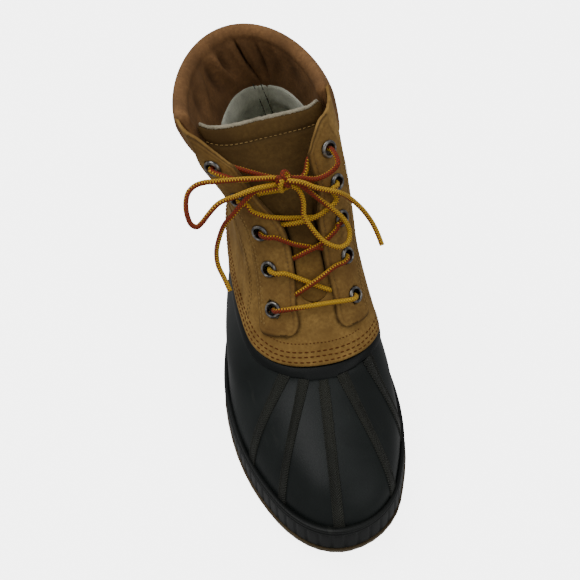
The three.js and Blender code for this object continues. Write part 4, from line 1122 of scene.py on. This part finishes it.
# Collar: suede over foam, pulled into folds where it turns in at the back
# points as (turn, height), half width in mm, depth in mm: below zero it is a ridge
collarFolds = [
    ([(0.534, 196), (0.518, 190), (0.508, 181), (0.499, 172), (0.482, 163), (0.47, 156)], 1.5, 3.4),
    ([(0.556, 194), (0.536, 181), (0.522, 166)], 5, -1.6),
    ([(0.49, 190), (0.474, 176), (0.458, 164)], 4, -1.2),
    ([(0.45, 192), (0.4395, 178), (0.437, 168), (0.44, 157)], 2.4, 2.0),
    ([(0.625, 196), (0.618, 188), (0.612, 176), (0.594, 167), (0.58, 159)], 5, -4.2),
    ([(0.596, 190), (0.588, 178), (0.572, 168)], 4, 2.2), ([(0.645, 190), (0.64, 176), (0.628, 162)], 5, 2.2),
    ([(0.68, 192), (0.694, 180), (0.712, 168)], 4, -3), ([(0.73, 188), (0.74, 172)], 5, 1.6),
    ([(0.4, 192), (0.392, 178), (0.4, 162)], 6, 0.9), ([(0.34, 190), (0.33, 172)], 7, 1.0),
]


def makeCollar():
    t = np.linspace(0, 1, collarLook["turns"] + 1)
    low = collarBottom(t)
    drop = topLevel - low
    out, inn, wall = collarLook["out"], -collarLook["in"], boot["leather"]
    tucked = low - collarLook["tuck"]
    ring = [
        (low, inn * 0.5), (low, wall), (low + 2.5, mix(wall, out, 0.5)), (low + 6, mix(wall, out, 0.85)),
        (low + drop * 0.35, out), (topLevel - drop * 0.4, out), (topLevel - 9, out * 0.96),
        (topLevel - 5, out * 0.78), (topLevel - 2, out * 0.45), (topLevel - 0.2, out * 0.05),
        (topLevel, -1.2), (topLevel - 0.6, inn * 0.5), (topLevel - 2.5, inn * 0.8), (topLevel - 6, inn),
        (topLevel - drop * 0.35, inn), (topLevel - drop * 0.55, inn), (topLevel - drop * 0.8, inn),
        (low - 4, inn), (tucked + 2, inn), (tucked, inn * 0.8), (tucked + 1, inn * 0.6),
        (low - 6, inn * 0.55),
    ]
    rows = np.array([np.broadcast_arrays(z, d, t)[:2] for z, d in ring])
    dense = []
    count = len(rows)
    for i in range(count):
        for share in (0, 0.33, 0.66):
            a, b, c, d = (rows[(i + k) % count] for k in (-1, 0, 1, 2))
            dense.append(0.5 * (2 * b + (c - a) * share + (2 * a - 5 * b + 4 * c - d) * share**2
                                + (3 * b - a - 3 * c + d) * share**3))
    dense = np.array(dense)
    level, distance = dense[:, 0], dense[:, 1]
    inside = ease(-distance, 2.0, 5.5) * ease(topLevel - level, 2, 16)
    girth = collarLook["girth"]
    flat = (mix(*collarEnds(level), t[None, :]) - 0.5) * girth
    folds = [([((turn - 0.5) * girth, z) for turn, z in points], width, depth)
             for points, width, depth in collarFolds]
    sunk = foldDepth(flat, level, folds) * ease(level, 152, 157)
    pillow = 0.4 * np.sin(t[None, :] * 2 * np.pi * 7.3 + level / 9) * np.sin(level / 7 + t[None, :] * 31)
    rimSeam = 0.7 * bell(topLevel - level, 8.5, 1.3) * ease(-distance, 3, 5)
    distance = distance + inside * (sunk + pillow * ease(level, 158, 166)) + rimSeam
    ends = ease(np.minimum(t, 1 - t), -0.004, 0.018)[None, :]
    middleLevel, middleOff = (level.min(0) + level.max(0)) / 2, -1.0
    level = mix(middleLevel[None, :], level, mix(0.93, 1, ends))
    distance = mix(middleOff, distance, mix(0.5, 1, ends))
    points = offLast(mix(*collarEnds(level), t[None, :]), level, distance)
    points = np.concatenate([points, points[:1]])
    first = np.repeat(points[:, :1].mean(0, keepdims=True), points.shape[0], 0)
    last = np.repeat(points[:, -1:].mean(0, keepdims=True), points.shape[0], 0)
    points = np.concatenate([first, points, last], 1)
    # painted shade: the whole inside is darker, more so in the troughs of its folds and in the seam under the
    # rim
    values = np.clip(inside * (np.maximum(sunk, 0) * 0.24 + 0.22) + rimSeam * 0.3, 0, 0.85)
    values = np.concatenate([values, values[:1]])
    values = np.concatenate([values[:, :1], values, values[:, -1:]], 1)
    piece = gridMesh("paddedCollar", points[::-1], collarSuede, paintedShadeAndBand=values[::-1])
    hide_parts("collar")


tongueLook = {"base": 84, "top": 193, "half": 36, "narrow": 0.6, "lean": 27, "thick": 4.5, "hem": 9,
              "medialSpread": 12, "lateralSpread": 9.5, "droop": 4.5, "corner": 5, "flat": 0.12}


def tongueGrid(u, z):
    spread = np.where(u > 0, tongueLook["medialSpread"], tongueLook["lateralSpread"])
    wide = tongueLook["half"] + spread * ease(z, 130, 190)
    share = ease(z, tongueLook["base"], tongueLook["top"])
    half = mix(tongueLook["half"] * tongueLook["narrow"], wide, share)
    sunk = ease(z, tongueLook["base"], boot["throatBase"] - 2)
    depth = mix(0.6, boot["lace"] + 0.9, sunk)
    bend = ease(z, 0.6 * topLevel, 1.1 * topLevel) ** 1.2
    turn = turnAt(u * half, z)
    back = np.zeros((*np.broadcast(turn, z).shape, 3))
    back[..., 1] = tongueLook["lean"] * bend
    return turn, depth, back, half


def tonguePoint(u, z, off):
    z = z - tongueLook["droop"] * ease(-u, -0.6, 1) * ease(z, 140, tongueLook["top"])
    corner = np.clip((np.abs(u) - 0.84) / 0.16, 0, 1) ** 2
    z = z - tongueLook["corner"] * corner * ease(z, 172, tongueLook["top"])
    turn, depth, back, _ = tongueGrid(u, z)
    point = offLast(turn, z, off - depth) + back
    spread = point[..., 0] - leanAt(z) - shiftAt(z)
    point[..., 0] += spread * tongueLook["flat"] * ease(z, 150, tongueLook["top"])
    return point


# The tongue lies level with the vamp where the throat starts and sinks away behind the eyelets
def throatInside(around, level):
    low = boot["throatBase"] + float(openHalf(boot["throatBase"]))
    below = low - boot["throatBase"] - np.hypot(around, level - low)
    return np.where(level < low, below, openHalf(level) - np.abs(around))


def makeTongue():
    u = np.linspace(-1, 1, 121)[None, :]
    z = np.concatenate([np.linspace(tongueLook["base"], 98, 8), np.linspace(99, 113, 36),
                        np.linspace(114, tongueLook["top"], 72)])[:, None]
    z = np.broadcast_to(z, (z.shape[0], u.shape[1]))
    edge = np.minimum(tongueLook["top"] - z, z - tongueLook["base"])
    edge = np.minimum((1 - np.abs(u)) * tongueLook["half"], edge)
    puff = rounded(1 - np.clip(edge / 6, 0, 1), 2)
    seam = 0.7 * bell(tongueLook["top"] - z, tongueLook["hem"], 1.1)
    wave = 0.35 * np.sin(u * 5 + z / 11) * np.sin(z / 8)
    _, depth, _, half = tongueGrid(u, z)
    sewn = 0.65 * ease(114 - z, 0, 3)
    level = mix(1.75 + depth, 0, ease(z, 116, 152)) * ease(throatInside(u * half, z), 0.15 - sewn, 0.9 - sewn)
    thickHalf = tongueLook["thick"] / 2
    outer = tonguePoint(u, z, -thickHalf * (1 - puff) - seam + wave * puff * ease(z, 120, 150) + level)
    inner = tonguePoint(u * 0.95, z, -thickHalf * (1 + puff))
    # painted shade on the face: in the hem seam, deepening where the tongue sinks behind the facings, and in a
    # band beside the throat's edges
    beside = 0.7 * bell(throatInside(u * half, z), 0.4, 1.6) * ease(z, 110, 113) * (1 - ease(z, 132, 150))
    face = gridMesh("tongueFace", outer, tongueNubuck, np.stack(np.broadcast_arrays(u * 36, z), -1),
                    paintedShadeAndBand=np.clip(seam * 0.3 + 0.62 * ease(z, 116, 144) + beside, 0, 0.9))
    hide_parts("tongue")
    lining = gridMesh("tongueLining", inner[:, ::-1], edgeFleece)
    # fleece that stands out along the top edge
    across = np.linspace(-0.985, 0.985, 150)
    line = tonguePoint(across, np.full(150, tongueLook["top"] - 0.2), -thickHalf - 0.3)
    angle = np.linspace(0, 2 * np.pi, 12, endpoint=False)
    fluff = 1 + 0.16 * dice.standard_normal((150, 12))
    size = np.stack([np.cos(angle) * 0, np.cos(angle) * 1.5, np.sin(angle) * 1.0], -1)
    roll = line[:, None, :] + size[None, :, :] * fluff[..., None]
    piece = gridMesh("tongueFleeceEdge", roll[:, ::-1], edgeFleece, wrap=True)


makeCollar()
makeTongue()
print("collar and tongue made")


# Felt lining inside shell and shaft, and the felt insole
# seams: turns of the two felt seams behind, taken at seamLevel
liningLook = {"low": 13, "top": 155.5, "openHalf": 30, "seams": (0.497, 0.462), "seamLevel": 140,
              "seamLean": 0.0006, "seamHalf": 0.0028, "seamRise": 1.1}
insoleLook = {"clear": 0.8, "thickness": 3.6, "edgeRise": 1.2}


def makeLining():
    across = np.linspace(0, 1, 181)[None, :]
    top = liningLook["top"] + 3.5 * (1 - ease(np.abs(across - 0.36), 0, 0.14))
    shares = np.array([*np.linspace(0, 0.97, 90), 0.98, 0.99, 0.996, 1, 0.998])[:, None]
    level = mix(liningLook["low"], top, shares)
    half = np.where(level > 76, liningLook["openHalf"] * ease(level, 70, 90), 0)
    turn = mix(turnAt(half, level), turnAt(-half, level) + 1, across)
    level = np.maximum(level, shellBottom(turn) + 4)
    off = mix(-5.4, -3.6, ease(level, 84, 120)) - 3.6 * ease(level, 132, 146)
    off[-5:] += np.array([0.1, 0.3, 0.7, 1.6, 3.0])[:, None]
    wave = 0.3 * np.sin(turn * 60 + level / 12)
    lean = (level - liningLook["seamLevel"]) * liningLook["seamLean"]
    seam = sum(bell(turn, at - lean, liningLook["seamHalf"]) for at in liningLook["seams"])
    seam = liningLook["seamRise"] * seam
    points = offLast(turn, level, off + wave + seam)
    piece = gridMesh("feltLining", points[::-1], liningFelt)


def makeInsole():
    t = np.linspace(0.004, 0.496, 90)[:, None]
    u = np.linspace(-1, 1, 33)[None, :]
    inset = boot["shellInset"] + boot["rubber"] + insoleLook["clear"]
    medial, lateral = soleEdge(t[:, 0], inset), soleEdge(-t[:, 0], inset)
    share = (u[..., None] + 1) / 2
    base = mix(lateral[:, None, :], medial[:, None, :], share)
    springs = springAt(base[..., 1])
    top = boot["plateTop"] + 0.4 + springs + insoleLook["thickness"] + insoleLook["edgeRise"] * np.abs(u) ** 3
    low = boot["plateTop"] + 0.35 + springs
    upper, lower = base.copy(), base.copy()
    upper[..., 2], lower[..., 2] = top, low
    ring = np.concatenate([upper, lower[:, ::-1]], 1)
    ring = np.concatenate([np.repeat(ring[:1].mean(1, keepdims=True), ring.shape[1], 1), ring,
                           np.repeat(ring[-1:].mean(1, keepdims=True), ring.shape[1], 1)])
    piece = gridMesh("feltInsole", ring, liningFelt, wrap=True)
    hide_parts("insole")


makeLining()
makeInsole()
print("lining made")


# Eyelets: a rolled flange round a barrel, as radius and height over the facing
eyeletProfile = [
    (3.6, -5.0), (3.5, 0.4), (3.6, 1.2), (3.85, 1.75), (4.35, 1.9), (4.85, 1.65), (5.25, 1.2), (5.5, 0.7),
    (5.55, 0.1), (5.4, -0.1), (4.2, -0.1), (4.1, -5.0),
]


def makeEyelet(side, word, k):
    r, level = eyeletSide(side, k)
    turn = turnAt(r, level)
    seat, out = offLast(turn, level, facingLook["off"]), lastNormal(turn, level)
    across = unit(np.cross(out, (0, 0, 1.0)))
    ring = ringRound(across, np.cross(across, out), np.linspace(0, 2 * np.pi, 40, endpoint=False))
    points = np.stack([seat + ring * radius + out * height for radius, height in eyeletProfile])
    piece = gridMesh(f"{word}Eyelet{k + 1}", points, eyeletMetal, wrap=True)
    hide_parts(f"{word}_eyelet_{k + 1}")


for k in range(5):
    makeEyelet(-1, "lateral", k)
    makeEyelet(1, "medial", k)
print("eyelets made")


# Seams: the middle of each thread lies stitchOff over the leather
stitchOff = 0.05


def rimLine(above, low, high, count):
    turn = np.linspace(low, high, count)
    return offLast(turn, climb(turn, rimTop(turn), above), boot["leather"] + stitchOff)


def facingLine(side, inset, fromOuter, low):
    top = topAround(0.0) if not fromOuter else 172
    level = np.linspace(low, top - 4, 40)
    inner, outer = facingEdges(level)
    around = side * (outer - inset if fromOuter else inner + inset)
    return over(around, level, facingLook["off"] + stitchOff)


def makeSeams():
    makeStitches("rimStitches", [rimLine(above, 0.5, 1.5, 260) for above in (2.8, 6.2, 9.6)], brownThread,
                 length=2.6, pitch=3.9, radius=0.42)
    makeStitches("vampStitches", [rimLine(15, -0.075, 0.06, 40)], brownThread,
                 length=1.2, pitch=2.3, radius=0.28)
    height = np.linspace(128, 158, 12)
    lean = (height - liningLook["seamLevel"]) * liningLook["seamLean"]
    makeStitches("feltSeams", [offLast(at + lean, height, -6.9) for at in liningLook["seams"]], seamThread,
                 length=3.0, pitch=3.1, radius=0.4)
    rows = [facingLine(side, 3, False, boot["facingBase"] + 9) for side in (-1, 1)]
    makeStitches("facingEdgeStitches", rows, tanThread, length=1.6, pitch=2.7, radius=0.26)
    makeStitches("facingSeamStitches", [facingLine(side, inset, True, boot["facingBase"] + 2)
                                        for side in (-1, 1) for inset in (2.6, 5.0)],
                 paleThread, length=1.5, pitch=2.9, radius=0.3)
    across = np.linspace(-0.93, 0.93, 40)
    hem = np.full(len(across), tongueLook["top"] - tongueLook["hem"])
    makeStitches("tongueStitches", [tonguePoint(across, hem, -0.55)], paleThread,
                 length=2.0, pitch=3.0, radius=0.3)
    # the quarter's two rows on each side, from the collar's point down to the rim
    y, z = np.array([(54, 158), (40, 146), (18, 122), (-4, 96), (-16, 80)]).T
    rows = [offLast(turnAlong(side, y + shift, z), z, boot["leather"] + stitchOff)
            for side in (-1, 1) for shift in (0, 2.4)]
    makeStitches("quarterStitches", rows, tanThread, length=1.8, pitch=2.9, radius=0.28)
    t = np.linspace(0.03, 0.97, 160)
    low = collarBottom(t) - 2.6
    makeStitches("collarStitches", [offLast(mix(*collarEnds(low), t), low, boot["leather"] + stitchOff)],
                 brownThread, length=2.0, pitch=3.1, radius=0.3)


makeSeams()
print("seams made")


# Floor and light: seamless white paper, so the ground reads as one even white
# lights: name, place in metres, size in metres, power in watts
stageLook = {
    "paper": "#f4f4f4", "glow": 4.6, "size": 4, "world": 0.4, "aim": (0, 0, 0.08),
    "lights": [("keyLight", (-0.5, 0.25, 1.5), 0.9, 10.5), ("fillLight", (0.9, -0.9, 1.1), 1.0, 4)],
}


def makeStage():
    material, _, _ = startMaterial("paper floor", {
        "Roughness": 0.95, "Base Color": colour(stageLook["paper"]), "Emission Color": (1, 1, 1, 1),
        "Emission Strength": stageLook["glow"]})
    work = bmesh.new()
    bmesh.ops.create_grid(work, x_segments=8, y_segments=8, size=stageLook["size"])
    mesh = bpy.data.meshes.new("floor")
    work.to_mesh(mesh)
    work.free()
    mesh.materials.append(material)
    floor = bpy.data.objects.new("floor", mesh)
    floor.location = (0, 0, -0.0002)
    # the paper is lit for the picture only, so it throws no light up onto the boot
    floor.visible_diffuse = False
    floor.visible_glossy = False
    bpy.context.scene.collection.objects.link(floor)
    world = bpy.data.worlds.new("studio")
    world.use_nodes = True
    world.node_tree.nodes["Background"].inputs[0].default_value = (1, 1, 1, 1)
    world.node_tree.nodes["Background"].inputs[1].default_value = stageLook["world"]
    bpy.context.scene.world = world
    for name, place, size, power in stageLook["lights"]:
        lamp = bpy.data.lights.new(name, "AREA")
        lamp.size = size
        lamp.energy = power
        light = bpy.data.objects.new(name, lamp)
        light.location = place
        ahead = Vector(stageLook["aim"]) - Vector(place)
        light.rotation_euler = ahead.to_track_quat("-Z", "Y").to_euler()
        bpy.context.scene.collection.objects.link(light)


makeStage()
print("stage made")
